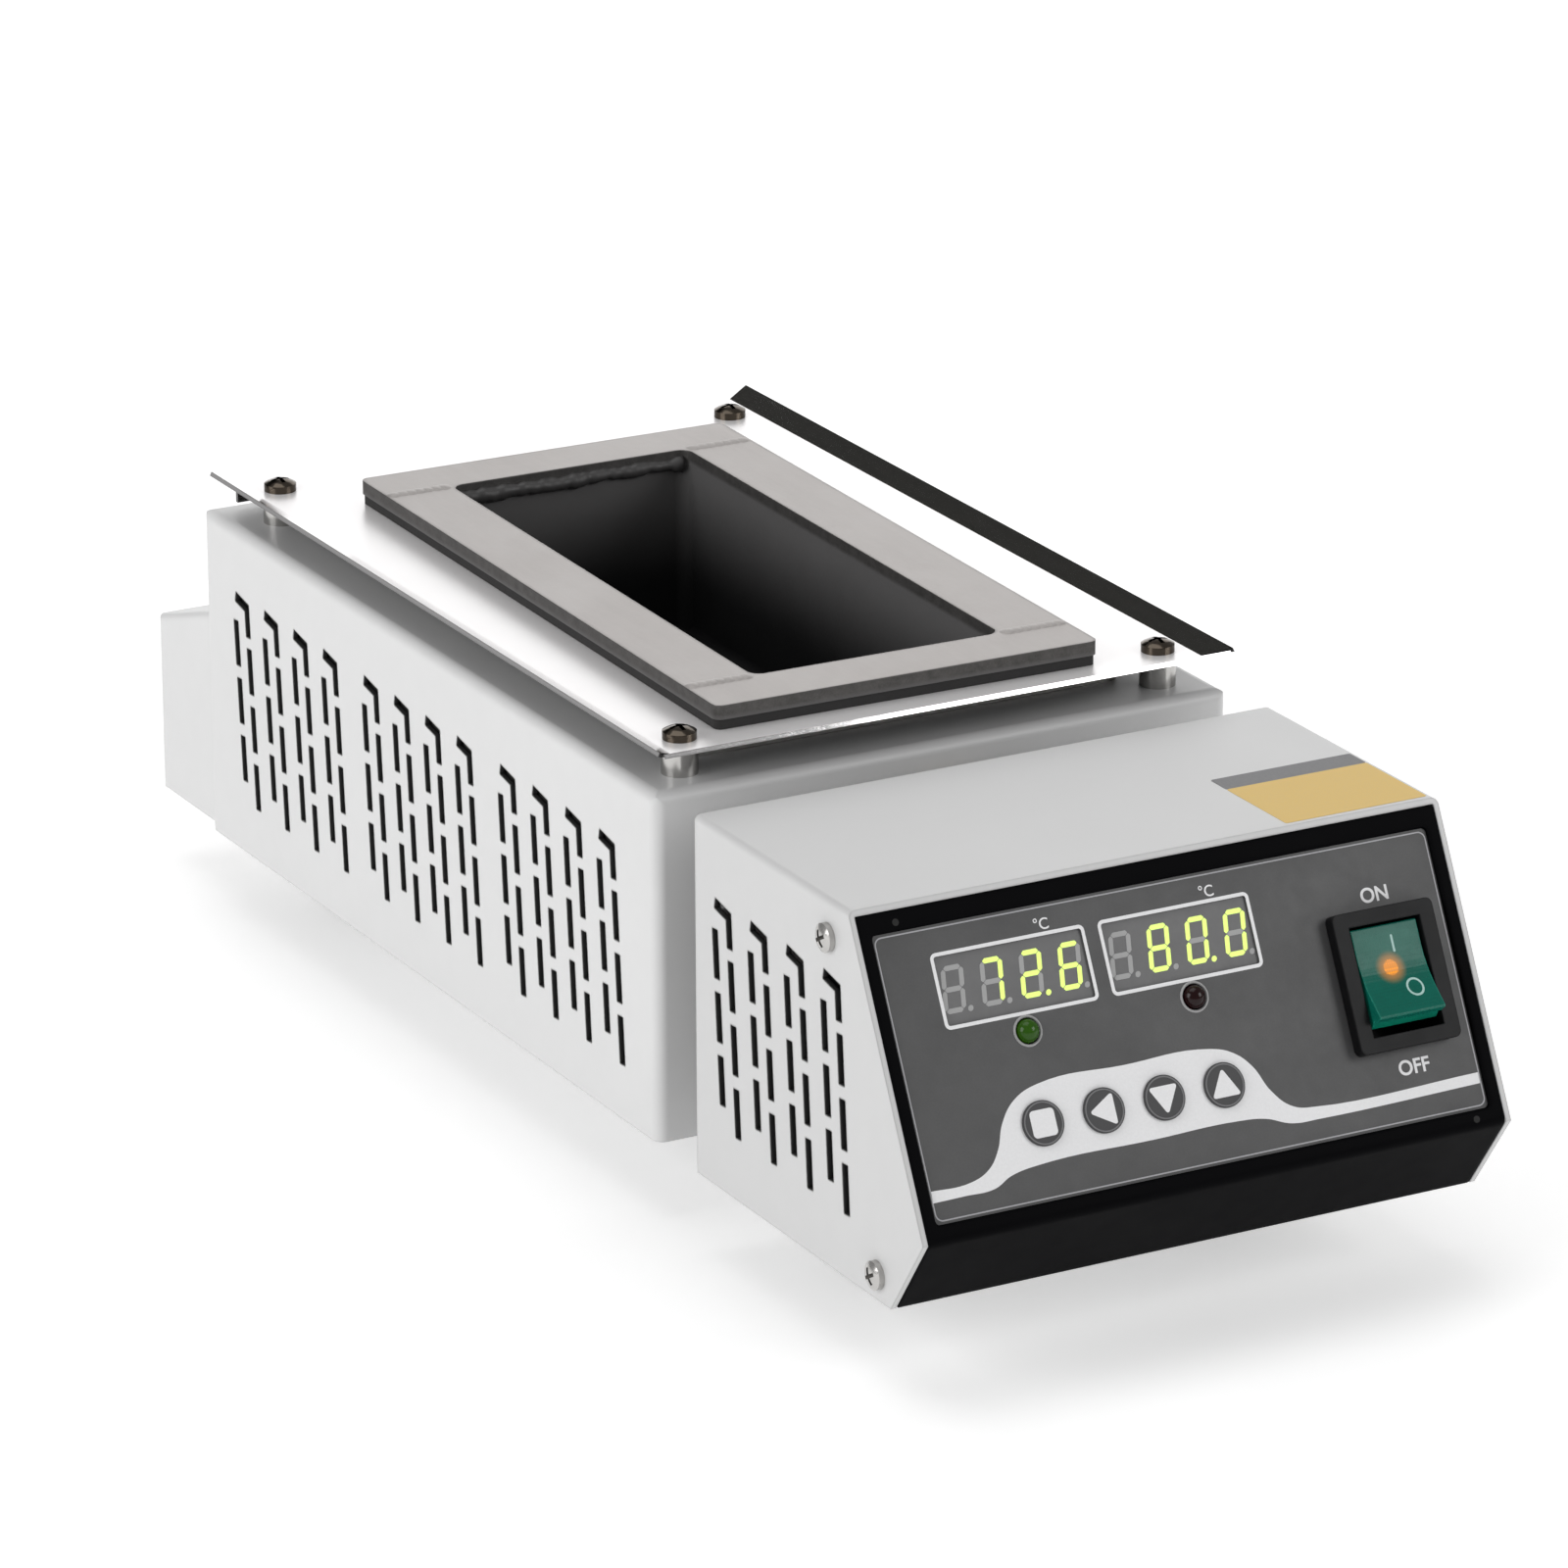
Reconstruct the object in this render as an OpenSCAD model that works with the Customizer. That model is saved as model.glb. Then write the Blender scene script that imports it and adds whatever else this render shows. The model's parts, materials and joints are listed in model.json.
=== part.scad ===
// Bench solder pot: a pot furnace under a polished tray, a control box in front of it and a low wiring box behind it.
// Millimetres, +Z up, +Y from the control panel to the back, +X to the right of someone facing the panel.

/* [Overall] */
// Width of the furnace housing and of the control box
body_w = 140; // [136:1:160]
// Thickness of the folded steel sheet
sheet = 1.2; // [0.8:0.1:1.6]
// Outside radius of the sheet bends
bend_r = 2.5; // [2:0.1:4]
// Outer radius of the control cover's folds
fold_r = 1.5; // [1.3:0.1:3]
// Clear gap between pieces that slip into each other
slip = 0.2; // [0.1:0.05:0.3]

/* [Base and feet] */
// Height of the rubber feet
foot_h = 18.4; // [10:0.2:24]
// Diameter of a foot where it touches the table
foot_d = 19; // [16:1:24]
// How much wider a foot is at its top
foot_flare = 3; // [0:0.5:5]
// Distance of the feet from the sides of the boxes
foot_side = 32; // [26:1:36]
// Front feet, behind the nose
foot_front = 70; // [66:1:74]
// Rear feet, ahead of the housing's back wall
foot_rear = 22; // [16:1:60]
// Thickness of the base plate
base_t = 1.5; // [1:0.1:2.5]
// Width of the base plate where it crosses the gap between the boxes
link_w = 90; // [80:1:110]
// Width of the inward flanges along the bottom edges
flange_w = 10; // [8:0.5:12]

/* [Furnace housing] */
// Length of the furnace housing
furnace_l = 224.5; // [216:0.5:260]
// Height of the housing top above the feet
furnace_h = 78.5; // [76:0.5:95]
// Clear gap between the control box and the furnace housing
link_gap = 18; // [12:1:30]

/* [Vent slots] */
// Width of a slot
slot_w = 2.4; // [1.8:0.1:2.6]
// Length of a straight slot
slot_len = 10.8; // [9:0.1:11.5]
// Rise from one slot to the next in a column
slot_pitch = 13.8; // [13.5:0.05:15]
// Number of straight slots in a column
slot_rows = 3; // [1:1:3]
// Lean of the columns from the upright
slot_lean = 4.5; // [0:0.5:8]
// Distance between the two columns of a pair
column_gap = 6.4; // [5.5:0.1:7]
// Step of the front column below the rear one
column_step = 5.1; // [4.5:0.1:5.5]
// Distance between pairs of columns
pair_pitch = 15.55; // [15:0.05:16.5]
// Pairs in a group
pairs = 4; // [1:1:4]
// Distance between groups on the furnace housing
group_pitch = 67.7; // [66:0.1:72]
// Groups on the furnace housing
groups = 3; // [1:1:3]
// Height of the bent slots' rear ends above the feet
slot_top = 63.3; // [60:0.1:66]
// Length of a bent slot's upper leg, to the bend
bend_run = 6.1; // [5:0.1:7]
// Length of a bent slot's lower leg, from the bend
bend_drop = 7; // [6:0.1:9]
// Fall of a bent slot's upper leg toward the bend
bend_fall = 11; // [0:1:20]
// Drop of the furnace housing's slots below the control box's
furnace_slot_drop = 1.4; // [0:0.1:3]
// First column of the furnace housing, from its back wall
slot_inset = 15.7; // [14:0.1:18]
// First column of the control box, from its back wall
control_slot_inset = 7.4; // [6:0.1:10]

/* [Pot] */
// Length of the pot's hollow
cavity_l = 150; // [130:1:155]
// Width of the pot's hollow
cavity_w = 60; // [50:1:64]
// Depth of the pot's hollow
cavity_d = 45; // [38:1:46]
// Wall and floor of the welded trough
pot_wall = 3; // [2:0.5:4]
// Inside corner radius of the trough
pot_r = 3; // [2:0.5:6]
// Thickness of the rim plates
rim_t = 3.2; // [2:0.1:4]
// Width of the rim along the sides
rim_side = 16.2; // [12:0.2:18]
// Width of the rim at the ends
rim_end = 14.6; // [12:0.2:20]
// Outside corner radius of the rim
rim_r = 2; // [1:0.5:10]
// Distance of the rim behind the housing's front wall
rim_setback = 9.2; // [8:0.2:16]
// Thickness of the gasket frame under the rim
gasket_t = 2.3; // [1.5:0.1:3]
// How far the gasket frame stays inside the rim's edge
gasket_inset = 0.4; // [0:0.1:2]
// Gap between the trough and the gasket frame
pot_clear = 1.5; // [1:0.1:2.5]
// How far the loose pot lies to the left in its wider tray hole
pot_aside = 2; // [0:0.1:2.2]
// Turn of the loose pot in its tray hole
pot_turn = 1.1; // [0:0.1:1.2]
// Radius of the weld beads
bead_r = 1.9; // [1.2:0.1:2.4]
// Height of the weld beads
bead_h = 0.5; // [0.3:0.05:0.8]

/* [Tray] */
// Thickness of the polished tray
tray_t = 1; // [0.8:0.1:1.5]
// Side folds inside the housing's sides
tray_side = 5; // [3:0.1:7]
// Rear fold ahead of the housing's back wall
tray_back = 6; // [4:0.1:16]
// Distance of the front fold behind the housing's front wall
tray_setback = 2.4; // [1:0.1:4]
// Width of the turned-up lips
lip_w = 5.6; // [4:0.1:7]
// Rise of the side lips from level
lip_a = 27; // [15:1:40]
// Rise of the front lip from level
front_lip_a = 22; // [15:1:40]
// Depth of the turned-down rear edge
rear_drop = 5; // [3:0.1:6]
// Height of the standoffs between housing and tray
standoff_h = 6.6; // [6:0.1:14]
// Diameter of the standoffs
standoff_d = 8; // [7:0.1:9]
// Tray screws, from the side folds
tray_screw_x = 6.5; // [6:0.1:8]
// Tray screws, from the front fold
tray_screw_front = 8; // [6:0.5:12]
// Tray screws, from the rear fold
tray_screw_rear = 12; // [8:0.5:16]
// Diameter of the tray screws' shanks
tray_screw_d = 4; // [3:0.5:4]

/* [Heating] */
// Height of the bars that carry the trough
rest_h = 20; // [16:1:22]
// Thickness of a bar
rest_t = 10; // [6:1:14]
// Distance of the bars from the middle of the pot
rest_y = 50; // [35:1:60]
// Diameter of the tubular heaters
heater_d = 8; // [6:0.5:9]
// Distance between the two legs of a hairpin heater
heater_pitch = 16; // [14:0.5:17]
// Distance between the middles of the two hairpins
hairpin_pitch = 32; // [30:1:34]
// Cold end of a heater behind the housing
heater_tail = 14; // [10:1:18]
// Thickness of the inner furnace liner
liner_t = 1; // [0.8:0.1:1.2]
// Space between the trough and the liner at the sides
liner_gap = 11; // [8:0.5:13]
// Space between the trough and the liner at the ends
liner_end_gap = 3; // [2:0.5:12]
// Width of the liner's flange on the housing top
liner_flange = 8; // [6:0.5:10]
// Diameter of the temperature probe
probe_d = 4; // [3:0.5:5]
// Depth of the probe's axis below the housing top
probe_drop = 15.5; // [12:0.5:20]

/* [Control box] */
// Length from the nose to the back wall
control_l = 96.5; // [94:0.5:110]
// Height of the box above the feet
control_h = 80; // [79:0.5:90]
// Height of the nose above the feet
nose_h = 18.4; // [16:0.2:22]
// How far the nose stands ahead of the bottom edge
nose_out = 13.2; // [10:0.2:16]
// How far the nose stands ahead of the top edge
top_back = 31; // [26:0.5:34]
// Thickness of the front panel
panel_t = 3; // [2.5:0.1:3.5]
// Depth of the panel's side returns inside the cover
return_d = 16; // [14:0.5:20]
// Thickness of the panel's side returns
return_t = 2; // [1.5:0.1:3]
// Side screws behind the sloped face
side_screw_in = 11; // [8:0.2:13]
// Diameter of the side screws' shanks
side_screw_d = 3; // [2.5:0.5:3]

/* [Panel] */
// Border of the panel round the overlay, left and right
border_side = 4.2; // [3:0.1:6]
// Border above the overlay
border_top = 5.8; // [4:0.1:7]
// Border below the overlay
border_low = 3.7; // [3:0.1:5]
// Depth of the pocket that holds the overlay
pocket_d = 1.2; // [0.8:0.1:1.4]
// Thickness of the printed overlay
overlay_t = 0.5; // [0.3:0.1:0.7]
// Width of a display window
display_w = 34.4; // [30:0.2:35.2]
// Height of a display window
display_h = 14.2; // [12:0.2:15]
// Height of the display row on the slope
display_v = 49.5; // [48:0.5:51]
// Middle of the left display from the box's left side
display_in = 34.1; // [32:0.1:34.6]
// From the left display to the right one
display_pitch = 39.1; // [37.4:0.1:39.6]
// Diameter of the two lamps
lamp_d = 5; // [4:0.5:5]
// Height of the lamps on the slope
lamp_v = 38.3; // [37:0.1:40]
// Left lamp from the box's left side
lamp_in = 34.3; // [32:0.1:35]
// From the left lamp to the right one
lamp_pitch = 39.3; // [37:0.1:41]
// Diameter of the round keys
key_d = 9.4; // [8:0.2:9.8]
// Distance between keys
key_pitch = 14.25; // [13:0.05:14.5]
// Height of the key row on the slope
key_v = 19.4; // [18:0.2:21]
// Leftmost key from the box's left side
key_in = 32.9; // [31:0.1:34]
// Travel of a key
key_travel = 0.5; // [0.3:0.05:0.6]
// Board behind the panel's outer face
board_depth = 11; // [10.6:0.1:11.4]
// Thickness of the circuit board
board_t = 1.6; // [1:0.1:2]

/* [Rocker switch] */
// Width of the switch bezel
bezel_w = 24.3; // [23:0.1:26]
// Height of the switch bezel
bezel_l = 29.6; // [28.5:0.1:31]
// How far the bezel stands above the overlay
bezel_h = 3; // [1.5:0.1:3.4]
// Middle of the switch from the box's right side
switch_in = 20.4; // [20:0.05:23]
// Middle of the switch on the slope
switch_v = 34; // [33:0.1:36]
// Width of the rocker
rocker_w = 15.8; // [15:0.1:17]
// Length of the rocker along its top
rocker_l = 19.8; // [18:0.1:20.4]
// Swing of the rocker from on to off
rocker_swing = 25; // [18:1:26]
// Height of the rocker's pressed face above its pivot
rocker_rise = 4.6; // [4:0.1:5]
// Radius of the dished valley across the rocker
rocker_dish = 22; // [4:1:30]
// Pivot below the panel's outer face
pivot_depth = 3.2; // [3:0.1:4]
// Diameter of the rocker's pins
pin_d = 3; // [2:0.1:3.2]

/* [Rear box] */
// Length of the rear wiring box
rear_l = 33.5; // [32:0.5:60]
// How far its sides stay inside the housing's sides
rear_inset = 2.5; // [1:0.1:8]
// Height at its back wall, above the feet
rear_h = 42.5; // [36:0.5:46]
// Height where it meets the housing, above the feet
rear_high = 53; // [50:0.5:60]
// Diameter of the cord bush's hole
bush_bore = 8; // [6:0.5:9]
// How far the cord bush stands out of the back wall
bush_out = 2.5; // [2:0.1:4]
// Height of the cord bush above the feet
bush_z = 20; // [16:0.5:24]
// Cord bush from the rear box's side
bush_side = 27.5; // [20:0.5:31]

/* [Hidden] */
$fn = 48;
eps = 0.02;

// Stations along Y
total_l = control_l + link_gap + furnace_l + rear_l + bush_out;
y_nose = -total_l / 2;
y_chassis = y_nose + control_l;
y_front = y_chassis + link_gap;
y_back = y_front + furnace_l;
y_end = y_back + rear_l;

// Levels
z_feet = foot_h;
z_base = z_feet + base_t;
z_top = z_feet + furnace_h;
z_tray = z_top + standoff_h;
z_gasket = z_tray + tray_t;
z_rim = z_gasket + gasket_t;
z_pot = z_rim + rim_t;
z_trough = z_pot - cavity_d - pot_wall;
z_liner = z_trough - rest_h - liner_t;
z_cover = z_feet + control_h;
z_probe = z_top - probe_drop;

// Pot
rim_w = cavity_w + 2 * rim_side;
rim_l = cavity_l + 2 * rim_end;
trough_w = cavity_w + 2 * pot_wall;
trough_l = cavity_l + 2 * pot_wall;
y_pot = y_front + rim_setback + rim_l / 2;
bead_step = 2.2;
bead_ball = (bead_r * bead_r + bead_h * bead_h) / (2 * bead_h);

// Tray
tray_y0 = y_front + tray_setback;
tray_y1 = y_back - tray_back;
tray_l = tray_y1 - tray_y0;
tray_w = body_w - 2 * tray_side;
tray_hole_gap = 4;
tray_screws = [for (sx = [-1, 1], y = [tray_y0 + tray_screw_front, tray_y1 - tray_screw_rear])
    [sx * (tray_w / 2 - tray_screw_x), y]];
standoff_seat = 5;
stud_l = 5;
nut_h = 3;

// Liner and insulation
liner_w = trough_w + 2 * (liner_gap + liner_t);
liner_l = trough_l + 2 * (liner_end_gap + liner_t);
wool_gap = 0.5;
wool_half = body_w / 2 - sheet - wool_gap;
wool_y0 = y_front + sheet + wool_gap;
wool_y1 = y_back - sheet - wool_gap;
wool_top = z_top - sheet - wool_gap;

// Heaters
heater_clear = 0.3;
z_heater = z_trough - heater_clear - heater_d / 2;
heater_x = [for (s = [-1, 1], t = [-1, 1]) s * hairpin_pitch / 2 + t * heater_pitch / 2];
heater_y0 = y_pot - trough_l / 2 + heater_d + heater_pitch / 2;
heater_bush_d = heater_d + 3;

// Link between the boxes
nipple_d = 12;
nipple_bore = 9;
nipple_x = 25;
nipple_z = z_feet + 14;
nipple_nut = 16;
nipple_nut_t = 4;
nipple_grip = 6;

// Slope of the panel, from the nose up
slope_rise = control_h - nose_h;
slope_a = atan2(slope_rise, top_back);
slope_l = norm([top_back, slope_rise]);
p_bottom = [y_nose + nose_out, z_feet];
p_nose = [y_nose, z_feet + nose_h];
p_top = [y_nose + top_back, z_cover];
overlay_w = body_w - 2 * border_side;
overlay_l = slope_l - border_top - border_low;
overlay_v = border_low + overlay_l / 2;
film_r = 1;
w_pocket = -pocket_d;
w_overlay = w_pocket + overlay_t;
w_board = -board_depth;
display_left_u = display_in - body_w / 2;
display_right_u = display_left_u + display_pitch;
lamp_left_u = lamp_in - body_w / 2;
lamp_right_u = lamp_left_u + lamp_pitch;
switch_u = body_w / 2 - switch_in;

// Keys
key_gap = 0.3;
key_flange_t = 1;
key_flange_r = key_d / 2 + 1.1;
key_stem_r = 1.6;
key_fit = 0.05;
tact_w = 6;
tact_h = 3.5;
key_guide = 0.8;
key_names_u = [for (i = [0:3]) key_in - body_w / 2 + i * key_pitch];

// Rocker
rocker_gap = 0.7;
well_w = rocker_w + 2 * rocker_gap;
well_l = rocker_l + 3.4;
shell_w = bezel_w - 2.3;
shell_l = bezel_l - 2.4;
shell_depth = 20;
well_depth = 12;
pin_fit = 0.05;
pin_l = 1.2;
rocker_tilt = rocker_swing / 2;

// Control box fittings
y_control_in = y_nose + nose_out + panel_t + 1.2;
side_screw_low = [p_bottom[0] + 5.5, z_feet + 5.6];

// Rear box
rear_gap = 3;
bush_in = 6;
rear_w = body_w - 2 * rear_inset;
bush_x = bush_side - rear_w / 2;
poles = 3;
pole_w = 15;
block_l = 20;
block_x = bush_x;
fuse_d = 5.2;
fuse_z = 9;
fuse_w = 12;
fuse_x = block_x + poles * pole_w + 8 + fuse_w / 2;
earth_x = fuse_x + fuse_w / 2 + 5;
earth_d = 5;
rear_slope = atan2(rear_high - rear_h, rear_l);

// ---------- shared shapes ----------

function unit(v) = v / norm(v);

// The arc that rounds corner p1 between p0 and p2
function fillet(p0, p1, p2, r, n = 6) =
    r <= 0 ? [p1] :
    let (a = unit(p0 - p1), b = unit(p2 - p1), half = acos(a * b) / 2,
         c = p1 + unit(a + b) * (r / sin(half)),
         s = p1 + a * (r / tan(half)) - c, e = p1 + b * (r / tan(half)) - c,
         a0 = atan2(s[1], s[0]), turn = ((atan2(e[1], e[0]) - a0 + 540) % 360) - 180)
    [for (i = [0:n]) c + r * [cos(a0 + turn * i / n), sin(a0 + turn * i / n)]];

// A polygon's points with each corner rounded by its own radius
function round_path(pts, radii) =
    [for (i = [0:len(pts) - 1])
        each fillet(pts[(i + len(pts) - 1) % len(pts)], pts[i], pts[(i + 1) % len(pts)], radii[i])];

// Corner p1 of the path p0-p1-p2 moved sideways by d, to the side given by its sign
function mitre(p0, p1, p2, d) =
    let (a = unit(p1 - p0), b = unit(p2 - p1), na = [-a[1], a[0]], nb = [-b[1], b[0]])
    p1 + (na + nb) * d / (1 + na * nb);

module round_rect(x, y, r) {
    square([x - 2 * r, y], center = true);
    square([x, y - 2 * r], center = true);
    for (i = [-1, 1], j = [-1, 1]) translate([i * (x / 2 - r), j * (y / 2 - r)]) circle(r = r);
}

module slab(x, y, z, r) {
    linear_extrude(z) round_rect(x, y, r);
}

// Profile in Y and Z, extruded along X about the middle plane
module across(w) {
    translate([-w / 2, 0, 0]) rotate([90, 0, 90]) linear_extrude(w) children();
}

// Profile in X and Z, extruded along Y from y0 to y1
module along(y0, y1) {
    translate([0, y1, 0]) rotate([90, 0, 0]) linear_extrude(y1 - y0) children();
}

// Box with round upright corners and round top edges, standing on z = 0
module capped_box(x, y, z, r) {
    skirt = 4 * r;
    intersection() {
        slab(x, y, z, r);
        along(-y / 2, y / 2) translate([0, (z - skirt) / 2]) round_rect(x, z + skirt, r);
        across(x) translate([0, (z - skirt) / 2]) round_rect(y, z + skirt, r);
    }
}

module tube(r_out, r_in, h) {
    difference() {
        cylinder(r = r_out, h = h);
        translate([0, 0, -1]) cylinder(r = r_in, h = h + 2);
    }
}

module hex_nut(across_flats, bore_r, h) {
    difference() {
        cylinder(d = across_flats / cos(30), h = h, $fn = 6);
        translate([0, 0, -1]) cylinder(r = bore_r, h = h + 2);
    }
}

// Pan head screw with a cross recess, head up from z = 0 and shank down
module pan_screw(head_d, head_h, shank_d, shank_l) {
    dome = head_d * 0.9;
    slot = head_d * 0.13;
    difference() {
        union() {
            intersection() {
                cylinder(d = head_d, h = head_h);
                translate([0, 0, head_h - dome]) sphere(r = dome);
            }
            translate([0, 0, -shank_l]) cylinder(d = shank_d, h = shank_l + eps);
        }
        for (a = [0, 90]) rotate(a)
            translate([-head_d * 0.3, -slot / 2, head_h * 0.35]) cube([head_d * 0.6, slot, head_h]);
    }
}

// ---------- places ----------

module on_slope(u = 0, v = 0, w = 0) {
    translate([0, p_nose[0], p_nose[1]]) rotate([slope_a, 0, 0]) translate([u, v, w]) children();
}

// The pot lies loose, a little aside and a little turned
module as_set_down() {
    translate([-pot_aside, y_pot, 0]) rotate(-pot_turn) translate([0, -y_pot, 0]) children();
}

module at_tray_screws(z) {
    for (p = tray_screws) translate([p[0], p[1], z]) children();
}

foot_places = [for (sx = [-1, 1], y = [y_nose + foot_front, y_back - foot_rear]) [sx * (body_w / 2 - foot_side), y]];

base_screw_r = 2;
base_screw_x = body_w / 2 - sheet - flange_w / 2;
base_screw_places = [
    for (sx = [-1, 1]) each [
        for (t = [0.1, 0.5, 0.9]) [sx * base_screw_x, y_front + t * furnace_l],
        [sx * (base_screw_x - 8), y_chassis - sheet - flange_w / 2],
        [sx * (base_screw_x - 8), y_control_in + flange_w / 2],
        [sx * (rear_w / 2 - sheet - flange_w / 2), y_back + rear_l / 2]
    ]
];

module base_holes(z0, z1) {
    for (p = base_screw_places) translate([p[0], p[1], z0]) cylinder(r = base_screw_r + slip / 2, h = z1 - z0);
}

// ---------- vent slots ----------

module slot(len, a = 0) {
    rotate(a) translate([-slot_w / 2, -len]) square([slot_w, len]);
}

// A slot that comes in from the rear, falling a little, and turns down at the place [0, 0]
module bent_slot() {
    half_w = slot_w / 2;
    upper = [sin(bend_fall), cos(bend_fall)];
    front = [cos(slot_lean), sin(slot_lean)];
    corner = (upper + front) * half_w / (1 + upper * front);
    tip = bend_run * [-cos(bend_fall), sin(bend_fall)];
    foot = bend_drop * [sin(slot_lean), -cos(slot_lean)];
    polygon([
        tip + upper * half_w, corner, foot + front * half_w, foot - front * half_w, -corner, tip - upper * half_w
    ]);
}

// A rear and a front column. The front one starts with a bent slot. x runs to the front, y up.
module slot_pair() {
    rear_top = slot_top - 5.8;
    front_top = rear_top - column_step;
    rear_u = 1.2;
    lean = tan(slot_lean);
    leg_u = rear_u + column_gap;
    for (row = [0:slot_rows - 1]) {
        translate([rear_u + row * slot_pitch * lean, rear_top - row * slot_pitch]) slot(slot_len, slot_lean);
        translate([leg_u + (row * slot_pitch + column_step) * lean, front_top - row * slot_pitch])
            slot(slot_len, slot_lean);
    }
    translate([leg_u - 0.4, slot_top - bend_run * sin(bend_fall)]) bent_slot();
}

module slot_group() {
    for (i = [0:pairs - 1]) translate([i * pair_pitch, 0]) slot_pair();
}

// Cuts a group through both sides of a box; y is the place of its first column
module cut_group(y, w, drop = 0) {
    translate([0, y, z_feet - drop]) mirror([0, 1, 0]) across(w) slot_group();
}

// ---------- base and feet ----------

module base_plate() {
    loose = 2 * slip;
    wide = body_w / 2 - sheet - loose;
    rear = rear_w / 2 - sheet - loose;
    link = link_w / 2;
    y1 = y_front + sheet + loose;
    y2 = y_back - sheet - loose;
    half = [
        [wide, face_points(panel_t)[0][0] + slip], [wide, y_chassis], [link, y_chassis], [link, y1], [wide, y1], [wide, y2],
        [link, y2], [link, y_back + slip], [rear, y_back + slip], [rear, y_end - sheet - loose]
    ];
    other = [for (i = [len(half) - 1:-1:0]) [-half[i][0], half[i][1]]];
    color("gainsboro") difference() {
        translate([0, 0, z_feet]) linear_extrude(base_t) polygon(concat(half, other));
        base_holes(z_feet - 1, z_base + 1);
        for (p = foot_places) translate([p[0], p[1], z_feet - 1]) cylinder(r = base_screw_r + slip / 2, h = base_t + 2);
        translate([earth_x, y_back + rear_l / 2, z_feet - 1]) cylinder(d = earth_d + slip, h = base_t + 2);
    }
}

module base_screws() {
    color("silver") for (p = base_screw_places)
        translate([p[0], p[1], z_feet]) mirror([0, 0, 1]) pan_screw(7, 2.2, 2 * base_screw_r, base_t + sheet + 1);
}

module rubber_feet() {
    color("#222222") for (p = foot_places) translate([p[0], p[1], 0]) difference() {
        cylinder(d1 = foot_d, d2 = foot_d + foot_flare, h = foot_h);
        translate([0, 0, -1]) cylinder(d = 10, h = foot_h - 4 + 1);
        translate([0, 0, -1]) cylinder(r = base_screw_r + slip, h = foot_h + 2);
    }
}

module foot_screws() {
    color("silver") for (p = foot_places) translate([p[0], p[1], foot_h - 4]) mirror([0, 0, 1])
        pan_screw(8, 2.6, 2 * base_screw_r, 4 + base_t + 1.5);
}

// ---------- furnace ----------

module furnace_housing() {
    inner_r = bend_r - sheet;
    link = link_w / 2 + slip;
    color("#dddddd") difference() {
        union() {
            difference() {
                translate([0, (y_front + y_back) / 2, z_feet]) capped_box(body_w, furnace_l, furnace_h, bend_r);
                translate([0, (y_front + y_back) / 2, z_feet - 1])
                    capped_box(body_w - 2 * sheet, furnace_l - 2 * sheet, furnace_h - sheet + 1, inner_r);
            }
            for (s = [-1, 1])
                translate([s > 0 ? body_w / 2 - sheet - flange_w : sheet / 2 - body_w / 2, wool_y0 + bend_r, z_base])
                    cube([flange_w + sheet / 2, wool_y1 - wool_y0 - 2 * bend_r, sheet]);
        }
        // opening for the liner
        translate([0, y_pot, z_top - 5]) slab(liner_w + 2 * slip, liner_l + 2 * slip, 10, bend_r);
        // the base plate passes under the front and back walls
        translate([-link, y_front - 1, z_feet - 1]) cube([2 * link, furnace_l + 2, base_t + 1]);
        for (i = [0:groups - 1]) cut_group(y_back - slot_inset - i * group_pitch, body_w + 2, furnace_slot_drop);
        base_holes(z_base - 1, z_base + sheet + 1);
        at_tray_screws(z_top - 5) cylinder(d = tray_screw_d + slip, h = 10);
        for (x = heater_x) translate([x, y_back - 5, z_heater]) rotate([-90, 0, 0])
            cylinder(d = heater_bush_d + slip, h = 10);
        for (s = [-1, 1]) translate([s * nipple_x, y_front - 5, nipple_z]) rotate([-90, 0, 0])
            cylinder(d = nipple_d + slip, h = 10);
        translate([0, y_front - 5, z_probe]) rotate([-90, 0, 0]) cylinder(d = 8 + slip, h = 10);
        for (p = liner_screw_places) translate([p[0], p[1], z_top - 5]) cylinder(r = 1.6, h = 10);
    }
}

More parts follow.
